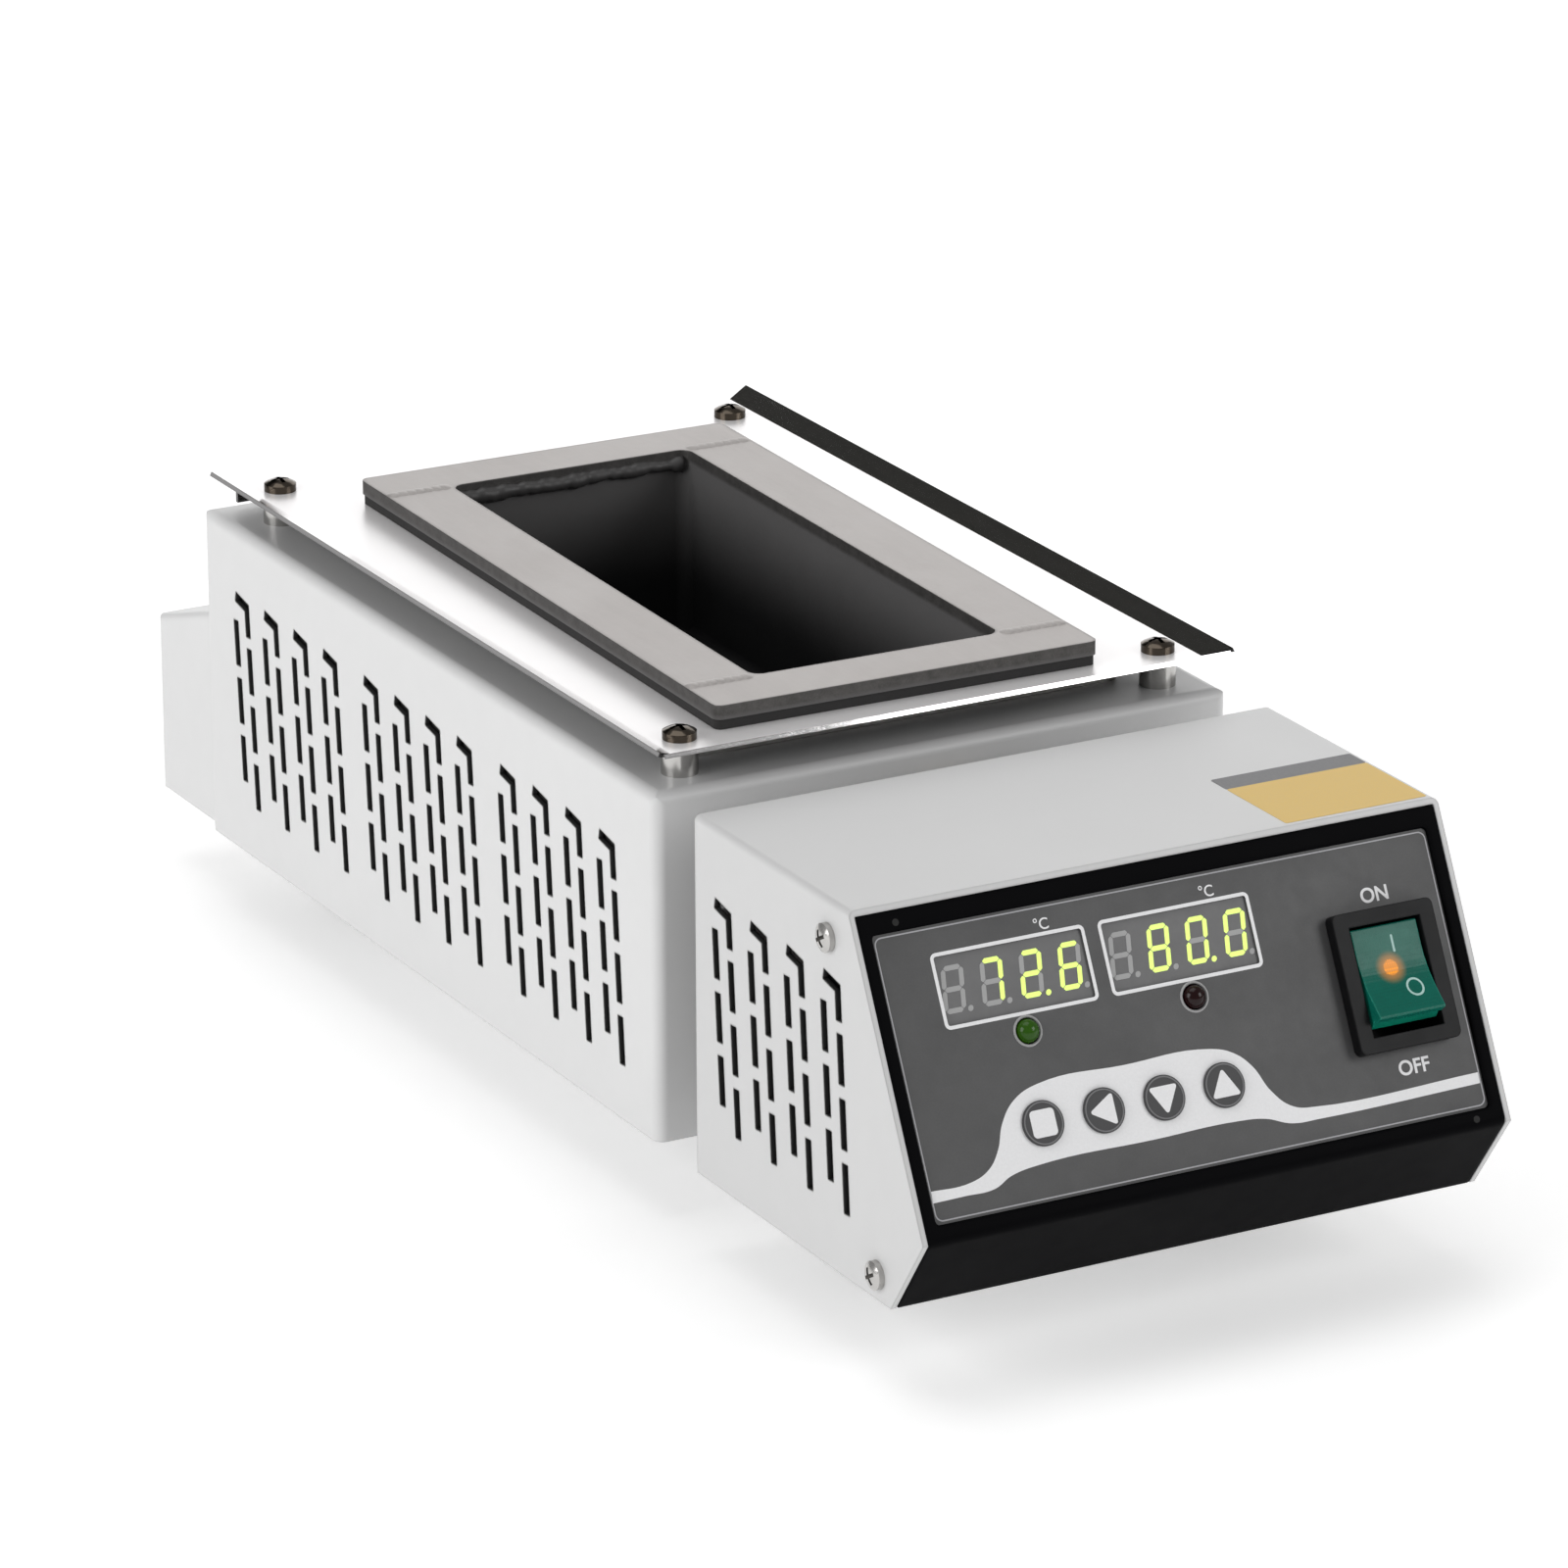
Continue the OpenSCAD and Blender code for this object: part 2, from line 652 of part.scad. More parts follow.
// One folded sheet: a flat with a turned-up lip on three sides and a turned-down rear edge
module top_plate() {
    z_fold = z_tray + tray_t / 2;
    reach = lip_w * cos(front_lip_a);
    side_reach = lip_w * cos(lip_a);
    notch = 0.5;
    color("#e8e8ea") difference() {
        union() {
            translate([-tray_w / 2, tray_y0, z_tray]) cube([tray_w, tray_l, tray_t]);
            // folds
            for (s = [-1, 1]) translate([s * tray_w / 2, tray_y0, z_fold]) rotate([-90, 0, 0])
                cylinder(d = tray_t, h = tray_l);
            for (y = [tray_y0, tray_y1]) translate([-tray_w / 2, y, z_fold]) rotate([0, 90, 0])
                cylinder(d = tray_t, h = tray_w);
            // side lips
            for (s = [-1, 1]) translate([s * tray_w / 2, tray_y0, z_fold])
                rotate([0, s > 0 ? -lip_a : lip_a, 0]) mirror([s > 0 ? 0 : 1, 0, 0])
                    translate([0, 0, -tray_t / 2]) linear_extrude(tray_t)
                        polygon([[0, notch], [lip_w, notch - reach], [lip_w, tray_l + 1], [0, tray_l]]);
            // front lip
            translate([0, tray_y0, z_fold]) rotate([-front_lip_a, 0, 0])
                translate([0, 0, -tray_t / 2]) linear_extrude(tray_t)
                    polygon([[-tray_w / 2 + notch, 0], [-tray_w / 2 - side_reach + 2 * notch, -lip_w],
                             [tray_w / 2 + side_reach - 2 * notch, -lip_w], [tray_w / 2 - notch, 0]]);
            // rear edge
            translate([-tray_w / 2 + 1, tray_y1 - tray_t / 2, z_tray + tray_t / 2 - rear_drop])
                cube([tray_w - 2, tray_t, rear_drop]);
        }
        translate([0, y_pot, z_tray - 5])
            slab(trough_w + 2 * tray_hole_gap, trough_l + 2 * tray_hole_gap, 10, pot_r + pot_wall + tray_hole_gap);
        at_tray_screws(z_tray - 5) cylinder(d = tray_screw_d + 2 * slip, h = 10);
    }
}

module plate_standoffs() {
    color("#d8d8d8") at_tray_screws(z_top) {
        difference() {
            cylinder(d = standoff_d, h = standoff_h);
            translate([0, 0, standoff_h - standoff_seat]) cylinder(d = tray_screw_d + slip / 2, h = standoff_seat + 1);
        }
        translate([0, 0, -sheet - nut_h - 1]) cylinder(d = tray_screw_d, h = sheet + nut_h + 1 + eps);
    }
}

module plate_screws() {
    color("#bdbdbd") at_tray_screws(z_gasket) pan_screw(7.4, 2.8, tray_screw_d, tray_t + standoff_seat - 0.5);
}

module standoff_nuts() {
    color("silver") at_tray_screws(z_top - sheet - nut_h) hex_nut(7, tray_screw_d / 2 + slip / 2, nut_h);
}

// ---------- pot ----------

module weld_bead(x0, x1, y) {
    n = ceil((x1 - x0) / bead_step);
    for (i = [0:n]) translate([x0 + (x1 - x0) * i / n, y, z_pot + bead_h - bead_ball]) sphere(r = bead_ball);
}

// Welded trough with a rim of four plates: the end plates run right across, the side plates butt on them
module pot() {
    seam_in = bead_r;
    color("#8a8684") as_set_down() difference() {
        union() {
            translate([0, y_pot, z_rim]) slab(rim_w, rim_l, rim_t, rim_r);
            translate([0, y_pot, z_rim + rim_t / 2]) mirror([0, 0, 1])
                capped_box(trough_w, trough_l, z_rim + rim_t / 2 - z_trough, pot_r + pot_wall);
            intersection() {
                for (sx = [-1, 1], sy = [-1, 1])
                    weld_bead(sx > 0 ? cavity_w / 2 + seam_in : seam_in - rim_w / 2,
                              sx > 0 ? rim_w / 2 - seam_in : -cavity_w / 2 - seam_in, y_pot + sy * cavity_l / 2);
                translate([0, y_pot, z_rim + rim_t / 2]) slab(rim_w, rim_l, rim_t, rim_r);
            }
        }
        translate([0, y_pot, z_pot + 1]) mirror([0, 0, 1]) capped_box(cavity_w, cavity_l, cavity_d + 1, pot_r);
    }
}

module pot_gasket() {
    color("#3a3a3a") as_set_down() translate([0, y_pot, z_gasket]) difference() {
        slab(rim_w - 2 * gasket_inset, rim_l - 2 * gasket_inset, gasket_t, rim_r - gasket_inset);
        translate([0, 0, -1]) slab(trough_w + 2 * pot_clear, trough_l + 2 * pot_clear, gasket_t + 2,
                                   pot_r + pot_wall + pot_clear);
    }
}

liner_screw_places = [for (sx = [-1, 1], t = [-0.36, 0, 0.36])
    [sx * (liner_w / 2 + liner_flange / 2 + 0.4), y_pot + t * liner_l]];

module furnace_liner() {
    depth = z_top - z_liner;
    color("#9a9a98") difference() {
        union() {
            translate([0, y_pot, z_liner]) slab(liner_w, liner_l, depth, bend_r - slip);
            translate([0, y_pot, z_top]) slab(liner_w + 2 * liner_flange, liner_l, liner_t, bend_r);
        }
        translate([0, y_pot, z_liner + liner_t])
            slab(liner_w - 2 * liner_t, liner_l - 2 * liner_t, depth + 5, bend_r - slip - liner_t / 2);
        for (x = heater_x) translate([x, y_pot + liner_l / 2 - 5, z_heater]) rotate([-90, 0, 0])
            cylinder(d = heater_d + 4 * slip, h = 10);
        translate([0, y_pot - liner_l / 2 + 5, z_probe]) rotate([90, 0, 0]) cylinder(d = probe_d + 4 * slip, h = 10);
        for (p = liner_screw_places) translate([p[0], p[1], z_top - 1]) cylinder(r = 1.6, h = liner_t + 2);
    }
}

module liner_screws() {
    color("silver") for (p = liner_screw_places) translate([p[0], p[1], z_top + liner_t])
        pan_screw(5.5, 1.8, 3, liner_t + sheet + 1.5);
}

// Bars across the liner; round-bottomed notches hold the heaters just clear of the trough
module pot_rests() {
    color("#777777") for (s = [-1, 1]) translate([0, y_pot + s * rest_y, 0]) difference() {
        translate([-trough_w / 2, -rest_t / 2, z_liner + liner_t]) cube([trough_w, rest_t, rest_h]);
        for (x = heater_x) {
            translate([x, -rest_t, z_heater]) rotate([-90, 0, 0]) cylinder(d = heater_d + 2 * heater_clear, h = 2 * rest_t);
            translate([x - heater_d / 2 - heater_clear, -rest_t, z_heater])
                cube([heater_d + 2 * heater_clear, 2 * rest_t, heater_d]);
        }
    }
}

// ---------- heating ----------

// Hairpin tube with two cold ends and their terminal studs
module hairpin(x) {
    leg_l = y_back + heater_tail - heater_y0;
    color("#6b6b6b") translate([x, heater_y0, z_heater]) {
        rotate([0, 0, 180]) rotate_extrude(angle = 180) translate([heater_pitch / 2, 0]) circle(d = heater_d);
        for (s = [-1, 1]) translate([s * heater_pitch / 2, 0, 0]) rotate([-90, 0, 0]) {
            cylinder(d = heater_d, h = leg_l);
            cylinder(d = heater_d / 2, h = leg_l + 5);
        }
    }
}

module heater_left() { hairpin(-hairpin_pitch / 2); }

module heater_right() { hairpin(hairpin_pitch / 2); }

module heater_bushes() {
    color("ivory") for (x = heater_x) translate([x, y_back, z_heater]) rotate([-90, 0, 0]) difference() {
        union() {
            cylinder(d = heater_bush_d + 4, h = 2.5);
            translate([0, 0, -sheet]) cylinder(d = heater_bush_d, h = sheet + eps);
        }
        translate([0, 0, -5]) cylinder(d = heater_d + slip, h = 10);
    }
}

module insulation_base() {
    color("#efe9dc") difference() {
        translate([-body_w / 2 + sheet + flange_w + 0.5, wool_y0, z_base])
            cube([body_w - 2 * (sheet + flange_w + 0.5), wool_y1 - wool_y0, z_liner - z_base]);
        for (s = [-1, 1]) translate([s * nipple_x, wool_y0 - 1, nipple_z]) rotate([-90, 0, 0])
            cylinder(d = nipple_nut / cos(30) + 1, h = nipple_grip + 3);
        for (p = foot_places) translate([p[0], p[1], z_base - 1]) cylinder(r = base_screw_r + 1, h = 4);
    }
}

module insulation_sides() {
    inner = liner_w / 2 + wool_gap;
    nut_r = tray_screw_d + 1;
    color("#efe9dc") difference() {
        for (s = [-1, 1]) translate([s > 0 ? inner : -wool_half, wool_y0, z_liner])
            cube([wool_half - inner, wool_y1 - wool_y0, wool_top - z_liner]);
        at_tray_screws(wool_top - 6) cylinder(r = nut_r, h = 10);
        for (p = liner_screw_places) translate([p[0], p[1], wool_top - 3]) cylinder(r = 2, h = 10);
    }
}

module insulation_ends() {
    half = liner_w / 2;
    rear_y = y_pot + liner_l / 2 + wool_gap;
    front_y = y_pot - liner_l / 2 - wool_gap;
    color("#efe9dc") difference() {
        union() {
            translate([-half, wool_y0, z_liner]) cube([2 * half, front_y - wool_y0, wool_top - z_liner]);
            translate([-half, rear_y, z_liner]) cube([2 * half, wool_y1 - rear_y, wool_top - z_liner]);
        }
        for (x = heater_x) translate([x, rear_y - 1, z_heater]) rotate([-90, 0, 0])
            cylinder(d = heater_bush_d, h = wool_y1 - rear_y + 2);
        translate([0, wool_y0 - 1, z_probe]) rotate([-90, 0, 0]) cylinder(d = 15, h = front_y - wool_y0 + 2);
    }
}

// ---------- temperature probe ----------

module temperature_probe() {
    tip_y = y_pot - trough_l / 2 - heater_clear;
    tail_y = y_chassis - 7;
    color("#b9b9b9") translate([0, tail_y, z_probe]) rotate([-90, 0, 0]) {
        cylinder(d = probe_d, h = tip_y - tail_y);
        cylinder(d = probe_d + 1.5, h = 4);
    }
}

module probe_gland() {
    body_l = 4;
    color("goldenrod") translate([0, y_front, z_probe]) rotate([-90, 0, 0]) difference() {
        union() {
            translate([0, 0, -4]) cylinder(d = 11 / cos(30), h = 4, $fn = 6);
            translate([0, 0, -eps]) cylinder(d = 8, h = sheet + body_l);
            translate([0, 0, sheet]) cylinder(d = 11 / cos(30), h = 2.5, $fn = 6);
        }
        translate([0, 0, -5]) cylinder(d = probe_d + slip, h = body_l + 15);
    }
}

module probe_bush() {
    color("#222222") translate([0, y_chassis - sheet, z_probe]) rotate([-90, 0, 0]) difference() {
        union() {
            translate([0, 0, -1.2]) cylinder(d = probe_d + 6, h = 1.2);
            cylinder(d = probe_d + 3, h = sheet);
            translate([0, 0, sheet]) cylinder(d = probe_d + 6, h = 1.2);
        }
        translate([0, 0, -3]) cylinder(d = probe_d + slip, h = 8);
    }
}

// ---------- link ----------

module conduit_nipples() {
    y0 = y_chassis - sheet - nipple_grip;
    y1 = y_front + sheet + nipple_grip;
    color("silver") for (s = [-1, 1]) translate([s * nipple_x, y0, nipple_z]) rotate([-90, 0, 0]) {
        tube(nipple_d / 2, nipple_bore / 2, y1 - y0);
        translate([0, 0, nipple_grip + sheet]) tube(nipple_d / 2 + 2.5, nipple_bore / 2 + 1, link_gap);
    }
}

module conduit_nuts() {
    color("silver") for (s = [-1, 1], y = [y_chassis - sheet - nipple_nut_t, y_front + sheet])
        translate([s * nipple_x, y, nipple_z]) rotate([-90, 0, 0])
            hex_nut(nipple_nut, nipple_d / 2 + slip / 2, nipple_nut_t);
}

// ---------- control box ----------

// Points of the panel's outer face and of a face d behind it, from the bottom edge up
function face_points(d) =
    let (n = mitre(p_bottom, p_nose, p_top, -d))
    [mitre(p_bottom - [1, 0], p_bottom, p_nose, 0) + [d / sin(atan2(nose_h, nose_out)), 0],
     n, p_top + [d / sin(slope_a), 0]];

module control_chassis() {
    top = z_cover - sheet - 2 * slip;
    half = body_w / 2 - sheet - 2 * slip;
    color("#cfcfcf") difference() {
        union() {
            translate([-half, y_chassis - sheet, z_base]) cube([2 * half, sheet, top - z_base]);
            for (s = [-1, 1]) translate([s > 0 ? half - sheet : -half, y_chassis - 9, z_base])
                cube([sheet, 9, top - z_base - 3]);
            translate([-half, y_chassis - sheet - flange_w, z_base]) cube([2 * half, flange_w + sheet, sheet]);
        }
        base_holes(z_base - 1, z_base + sheet + 1);
        for (s = [-1, 1]) translate([s * nipple_x, y_chassis - 5, nipple_z]) rotate([-90, 0, 0])
            cylinder(d = nipple_d + slip, h = 10);
        translate([0, y_chassis - 5, z_probe]) rotate([-90, 0, 0]) cylinder(d = probe_d + 3, h = 10);
        cut_group(y_chassis - control_slot_inset, body_w);
    }
}

module control_cover() {
    skirt = 4 * bend_r;
    color("#d9d9d9") difference() {
        intersection() {
            across(body_w + 2) polygon([[y_chassis, z_feet], p_bottom, p_nose, p_top, [y_chassis, z_cover]]);
            along(y_nose - 1, y_chassis) translate([0, (z_feet + z_cover - skirt) / 2])
                round_rect(body_w, control_h + skirt, fold_r);
        }
        along(y_nose - 2, y_chassis + 1) translate([0, (z_feet + z_cover - skirt) / 2 - sheet / 2])
            round_rect(body_w - 2 * sheet, control_h + skirt - sheet, fold_r - sheet);
        cut_group(y_chassis - control_slot_inset, body_w + 4);
        at_side_screws(-5) cylinder(d = side_screw_d + slip, h = 10);
    }
}

// Places of the side screws, with +Z pointing out of the side
module at_side_screws(out) {
    upper = [p_top[0], p_top[1]] + [side_screw_in * sin(slope_a) - 3.6 * cos(slope_a), -side_screw_in * cos(slope_a) - 3.2];
    for (s = [-1, 1], p = [upper, side_screw_low]) translate([s * (body_w / 2), p[0], p[1]])
        rotate([0, s * 90, 0]) translate([0, 0, out]) children();
}

module cover_screws() {
    color("#c8c8c8") at_side_screws(0) rotate(30) pan_screw(6.2, 2.2, side_screw_d, sheet + slip + return_t + 2.4);
}

module front_panel() {
    outer = [p_bottom, p_nose, p_top];
    inner = face_points(panel_t);
    root = face_points(panel_t - 1);
    deep = face_points(panel_t + return_d);
    nose_r = 2.2;
    top_in = z_cover - sheet - 4 * slip;
    top_face = z_cover - sheet - slip;
    panel_r = 0.6;
    ret = [[root[0][0] + 1, z_base + slip], root[1], [root[2][0] - 1, top_in], [deep[2][0], top_in],
           deep[1], [inner[0][0] + flange_w + 2, z_base + slip]];
    half = body_w / 2 - sheet - slip;
    color("#151515") difference() {
        union() {
            intersection() {
                across(2 * half) polygon(concat([p_bottom], fillet(p_bottom, p_nose, p_top, nose_r), [p_top],
                                                [inner[2], inner[1], inner[0]]));
                along(y_nose - 1, y_nose + 2 * top_back) translate([0, (z_feet + top_face) / 2])
                    round_rect(2 * half, top_face - z_feet, panel_r);
            }
            for (s = [-1, 1]) {
                translate([s * (half - return_t / 2), 0, 0]) across(return_t) polygon(ret);
                // bosses for the side screws
                intersection() {
                    at_side_screws(-sheet - slip - return_t - 3) cylinder(d = 7, h = 4);
                    translate([s > 0 ? half - return_t - 3 : -half, y_nose, z_base + slip])
                        cube([return_t + 3, control_l, control_h]);
                }
            }
            // bottom flange
            translate([-half, inner[0][0] - 1, z_base + slip]) cube([2 * half, flange_w + 2, panel_t - 1]);
        }
        // pocket for the overlay, and what shows through it
        on_slope(0, overlay_v, w_pocket) slab(overlay_w + 2 * slip, overlay_l + 2 * slip, 10, film_r + slip);
        on_slope(0, 0, -5) linear_extrude(10) panel_windows(1);
        on_slope(switch_u, switch_v, -5) slab(shell_w + 2 * slip, shell_l + 2 * slip, 10, 1);
        at_side_screws(-sheet - slip - return_t - 3.5) cylinder(d = side_screw_d + slip / 2, h = 20);
        base_holes(z_feet, z_base + panel_t + 1);
    }
}

// Outlines of the display windows, lamp holes and key holes; d widens the windows
module panel_windows(d = 0) {
    for (u = [display_left_u, display_right_u]) translate([u, display_v])
        square([display_w + d, display_h + d], center = true);
    for (u = [lamp_left_u, lamp_right_u]) translate([u, lamp_v]) circle(d = lamp_d + 2 * slip);
    for (u = key_names_u) translate([u, key_v]) circle(d = key_d + 2 * key_gap);
}

module panel_overlay() {
    color("#4a4a4c") on_slope(0, 0, w_pocket) linear_extrude(overlay_t) difference() {
        translate([0, overlay_v]) round_rect(overlay_w, overlay_l, film_r);
        panel_windows();
        translate([switch_u, switch_v]) square([shell_w + 2 * slip, shell_l + 2 * slip], center = true);
    }
}

module display(u) {
    color("#777777") on_slope(u, display_v, w_board) linear_extrude(w_pocket - w_board)
        square([display_w + 1 - 2 * slip, display_h + 1 - 2 * slip], center = true);
}

module display_left() { display(display_left_u); }

module display_right() { display(display_right_u); }

module lamp(u) {
    dome_w = -1;
    on_slope(u, lamp_v, 0) {
        translate([0, 0, w_board]) cylinder(d = lamp_d, h = dome_w - w_board);
        translate([0, 0, dome_w]) sphere(d = lamp_d);
    }
}

module heating_lamp() { color("#3c8a1e") lamp(lamp_left_u); }

module alarm_lamp() { color("#3a0a10") lamp(lamp_right_u); }

// Cap, flange that keeps it behind the panel, and the stem that presses the tact switch
module key(i) {
    flange_w0 = -panel_t - key_gap - key_flange_t;
    stem_end = w_board + tact_h - key_guide;
    color("#2b2b2e") on_slope(key_names_u[i], key_v, 0) {
        translate([0, 0, flange_w0]) cylinder(r = key_flange_r, h = key_flange_t);
        translate([0, 0, flange_w0]) cylinder(d = key_d, h = w_overlay + key_travel + 0.1 - flange_w0);
        translate([0, 0, stem_end]) cylinder(r = key_stem_r, h = flange_w0 - stem_end + eps);
    }
}

module key_set() { key(0); }

module key_back() { key(1); }

module key_down() { key(2); }

module key_up() { key(3); }

module key_switches() {
    color("#333333") for (u = key_names_u) on_slope(u, key_v, w_board) difference() {
        translate([-tact_w / 2, -tact_w / 2, 0]) cube([tact_w, tact_w, tact_h]);
        translate([0, 0, tact_h - key_guide - key_travel - 0.6])
            cylinder(r = key_stem_r + key_fit, h = tact_h);
    }
}

board_u0 = display_left_u - display_w / 2 - 7;
board_u1 = switch_u - bezel_w / 2 - 7;
board_v0 = 8;
board_v1 = display_v + display_h / 2 + 4.5;
spacer_inset = 3;

module control_board() {
    color("darkgreen") on_slope(0, 0, w_board - board_t) linear_extrude(board_t)
        translate([board_u0, board_v0]) square([board_u1 - board_u0, board_v1 - board_v0]);
}

module board_spacers() {
    color("gold") for (u = [board_u0 + spacer_inset, board_u1 - spacer_inset],
                       v = [board_v0 + spacer_inset, board_v1 - spacer_inset])
        on_slope(u, v, w_board) cylinder(d = 5, h = board_depth - panel_t);
}

// ---------- rocker switch ----------

module switch_body() {
    color("#101010") on_slope(switch_u, switch_v, 0) {
        difference() {
            union() {
                translate([0, 0, w_overlay]) slab(bezel_w, bezel_l, bezel_h, 1.5);
                translate([-shell_w / 2, -shell_l / 2, -shell_depth]) cube([shell_w, shell_l, shell_depth]);
            }
            translate([-well_w / 2, -well_l / 2, -well_depth]) cube([well_w, well_l, 30]);
            translate([0, 0, -pivot_depth]) rotate([0, 90, 0])
                cylinder(d = pin_d + 2 * pin_fit, h = well_w + 2 * pin_l + 0.6, center = true);
        }
        for (v = [-8, 0, 8]) translate([-3.15, v - 0.4, -shell_depth - 8]) cube([6.3, 0.8, 8 + eps]);
    }
}

// Dished top, so the pressed half lies flat and the other half stands up, and a ledge under each end
module switch_rocker() {
    l = rocker_l / 2;
    v_rise = rocker_rise / cos(rocker_tilt);
    end_rise = v_rise + l * tan(rocker_tilt);
    ledge = 2.4;
    edge_r = 0.4;
    half = [[l, end_rise], [l + 0.1, end_rise - ledge], [l - 0.6, end_rise - ledge - 0.3], [l + 0.5, 1.8], [l - 1, -3]];
    half_r = [edge_r, 0.15, 0.15, 0.5, 2];
    back = [4:-1:0];
    path = concat([[0, v_rise]], half, [for (i = back) [-half[i][0], half[i][1]]]);
    radii = concat([rocker_dish], half_r, [for (i = back) half_r[i]]);
    color("#0f7a5f") on_slope(switch_u, switch_v, -pivot_depth) rotate([-rocker_tilt, 0, 0]) {
        across(rocker_w) polygon(round_path(path, radii));
        rotate([0, 90, 0]) cylinder(d = pin_d, h = well_w + 2 * pin_l, center = true);
    }
}

// ---------- power parts in the control box ----------

power_y1 = y_chassis - sheet - max(nipple_grip, flange_w) - 3;
power_l = 34;
power_x = 2;
sink_w = 34;
fin_t = 1.6;

module power_heatsink() {
    fins = 7;
    fin_h = 22;
    plate = 4;
    color("#a8a8ac") translate([power_x, power_y1 - power_l, z_base]) {
        cube([sink_w, power_l, plate]);
        for (i = [0:fins - 1]) translate([i * (sink_w - fin_t) / (fins - 1), 0, plate - eps])
            cube([fin_t, power_l, fin_h]);
    }
}

module power_triac() {
    size = [15.5, 4.5, 20];
    color("#1c1c1c") translate([power_x + (sink_w - size[0]) / 2, power_y1 - power_l - size[1], z_base]) cube(size);
}

module transformer() {
    core = [30, 18, 28];
    coil = [22, 30, 18];
    mid = power_y1 - power_l / 2;
    color("#8c5a2b") translate([power_x - 5 - core[0] / 2, mid, z_base]) {
        translate([-core[0] / 2, -core[1] / 2, 0]) cube(core);
        translate([-coil[0] / 2, -coil[1] / 2, (core[2] - coil[2]) / 2]) cube(coil);
    }
}

// ---------- rear box ----------

// Outline of the rear box, grown inwards by d, as a solid that the shell is cut from
module rear_solid(d, r) {
    top_soft = 0.8;
    w = rear_w - 2 * d;
    pitch_y = y_back + rear_l / 2;
    pitch_z = z_feet + (rear_h + rear_high) / 2 - d / cos(rear_slope);
    top_l = 3 * rear_l;
    intersection() {
        translate([0, y_back + (rear_l - d) / 2 - rear_l, z_feet - (d > 0 ? 1 : 0)])
            slab(w, 3 * rear_l - d, 2 * rear_high, r);
        across(w) polygon([[y_back, z_feet - 1], [y_end + 1, z_feet - 1], [y_end + 1, z_cover], [y_back, z_cover]]);
        translate([0, pitch_y, pitch_z]) rotate([-rear_slope, 0, 0]) along(-top_l, top_l)
            translate([0, -rear_high]) round_rect(w, 2 * rear_high, r * top_soft);
    }
}

module rear_cover() {
    inner_r = bend_r - sheet;
    link = link_w / 2 + slip;
    color("#dddddd") difference() {
        union() {
            difference() {
                rear_solid(0, bend_r);
                translate([0, -eps, 0]) rear_solid(sheet, inner_r);
            }
            for (s = [-1, 1])
                translate([s > 0 ? rear_w / 2 - sheet - flange_w : sheet / 2 - rear_w / 2, y_back + 2, z_base])
                    cube([flange_w + sheet / 2, rear_l - 5, sheet]);
        }
        base_holes(z_base - 1, z_base + sheet + 1);
        translate([bush_x, y_end - 5, z_feet + bush_z]) rotate([-90, 0, 0])
            cylinder(d = bush_bore + 4 + slip, h = 10);
    }
}

module terminal_block() {
    well = 6;
    block_h = 16;
    color("ivory") translate([block_x, y_back + rear_gap, z_base]) difference() {
        cube([poles * pole_w, block_l, block_h]);
        for (i = [0:poles - 1], y = [block_l / 4, block_l * 3 / 4])
            translate([(i + 0.5) * pole_w, y, block_h / 2]) cylinder(d = well, h = block_h);
        for (i = [1:poles - 1]) translate([i * pole_w - 1, -1, block_h - 5]) cube([2, block_l + 2, block_h]);
    }
}

module fuse_block() {
    seat = fuse_d + slip;
    color("ivory") translate([fuse_x, y_back + rear_gap, z_base]) difference() {
        translate([-fuse_w / 2, 0, 0]) cube([fuse_w, block_l, fuse_z + 3]);
        translate([0, -1, fuse_z]) rotate([-90, 0, 0]) cylinder(d = seat, h = block_l + 2);
        translate([-seat / 2, -1, fuse_z]) cube([seat, block_l + 2, fuse_z]);
    }
}

module fuse() {
    color("lightyellow") translate([fuse_x, y_back + rear_gap, z_base + fuse_z]) rotate([-90, 0, 0])
        cylinder(d = fuse_d, h = block_l);
}

module earth_stud() {
    hex_d = (earth_d + 3) / cos(30);
    head = 2.5;
    color("goldenrod") translate([earth_x, y_back + rear_l / 2, z_base]) {
        translate([0, 0, -base_t - head]) cylinder(d = hex_d, h = head, $fn = 6);
        translate([0, 0, -base_t - eps]) cylinder(d = earth_d, h = base_t + 12);
        cylinder(d = hex_d, h = 4, $fn = 6);
    }
}

module cord_bush() {
    bore_l = bush_out + sheet + bush_in;
    color("#1a1a1a") translate([bush_x, y_end, z_feet + bush_z]) rotate([-90, 0, 0]) difference() {
        union() {
            cylinder(d = bush_bore + 9, h = bush_out);
            translate([0, 0, -sheet - bush_in]) cylinder(d = bush_bore + 4, h = sheet + bush_in + eps);
            translate([0, 0, -sheet - 2.5]) cylinder(d = bush_bore + 7, h = 2.4);
        }
        translate([0, 0, -sheet - bush_in - 1]) cylinder(d = bush_bore, h = bore_l + 2);
    }
}

// ---------- nodes ----------

base_plate();
base_screws();
rubber_feet();
foot_screws();
furnace_housing();
top_plate();
plate_standoffs();
plate_screws();
standoff_nuts();
pot();
pot_gasket();
furnace_liner();
liner_screws();
pot_rests();
heater_left();
heater_right();
heater_bushes();
insulation_base();
insulation_sides();
insulation_ends();
temperature_probe();
probe_gland();
probe_bush();
conduit_nipples();
conduit_nuts();
control_chassis();
control_cover();
cover_screws();
front_panel();
panel_overlay();
display_left();
display_right();
heating_lamp();
alarm_lamp();
key_set();
key_back();
key_down();
key_up();
key_switches();
control_board();
board_spacers();
switch_body();
switch_rocker();
power_heatsink();
power_triac();
transformer();
rear_cover();
terminal_block();
fuse_block();
fuse();
earth_stud();
cord_bush();
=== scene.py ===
"""Bench solder pot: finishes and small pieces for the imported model, and the studio round it."""

import json
import logging
import math
from dataclasses import dataclass, field, replace
from enum import Enum
from typing import Callable, Sequence

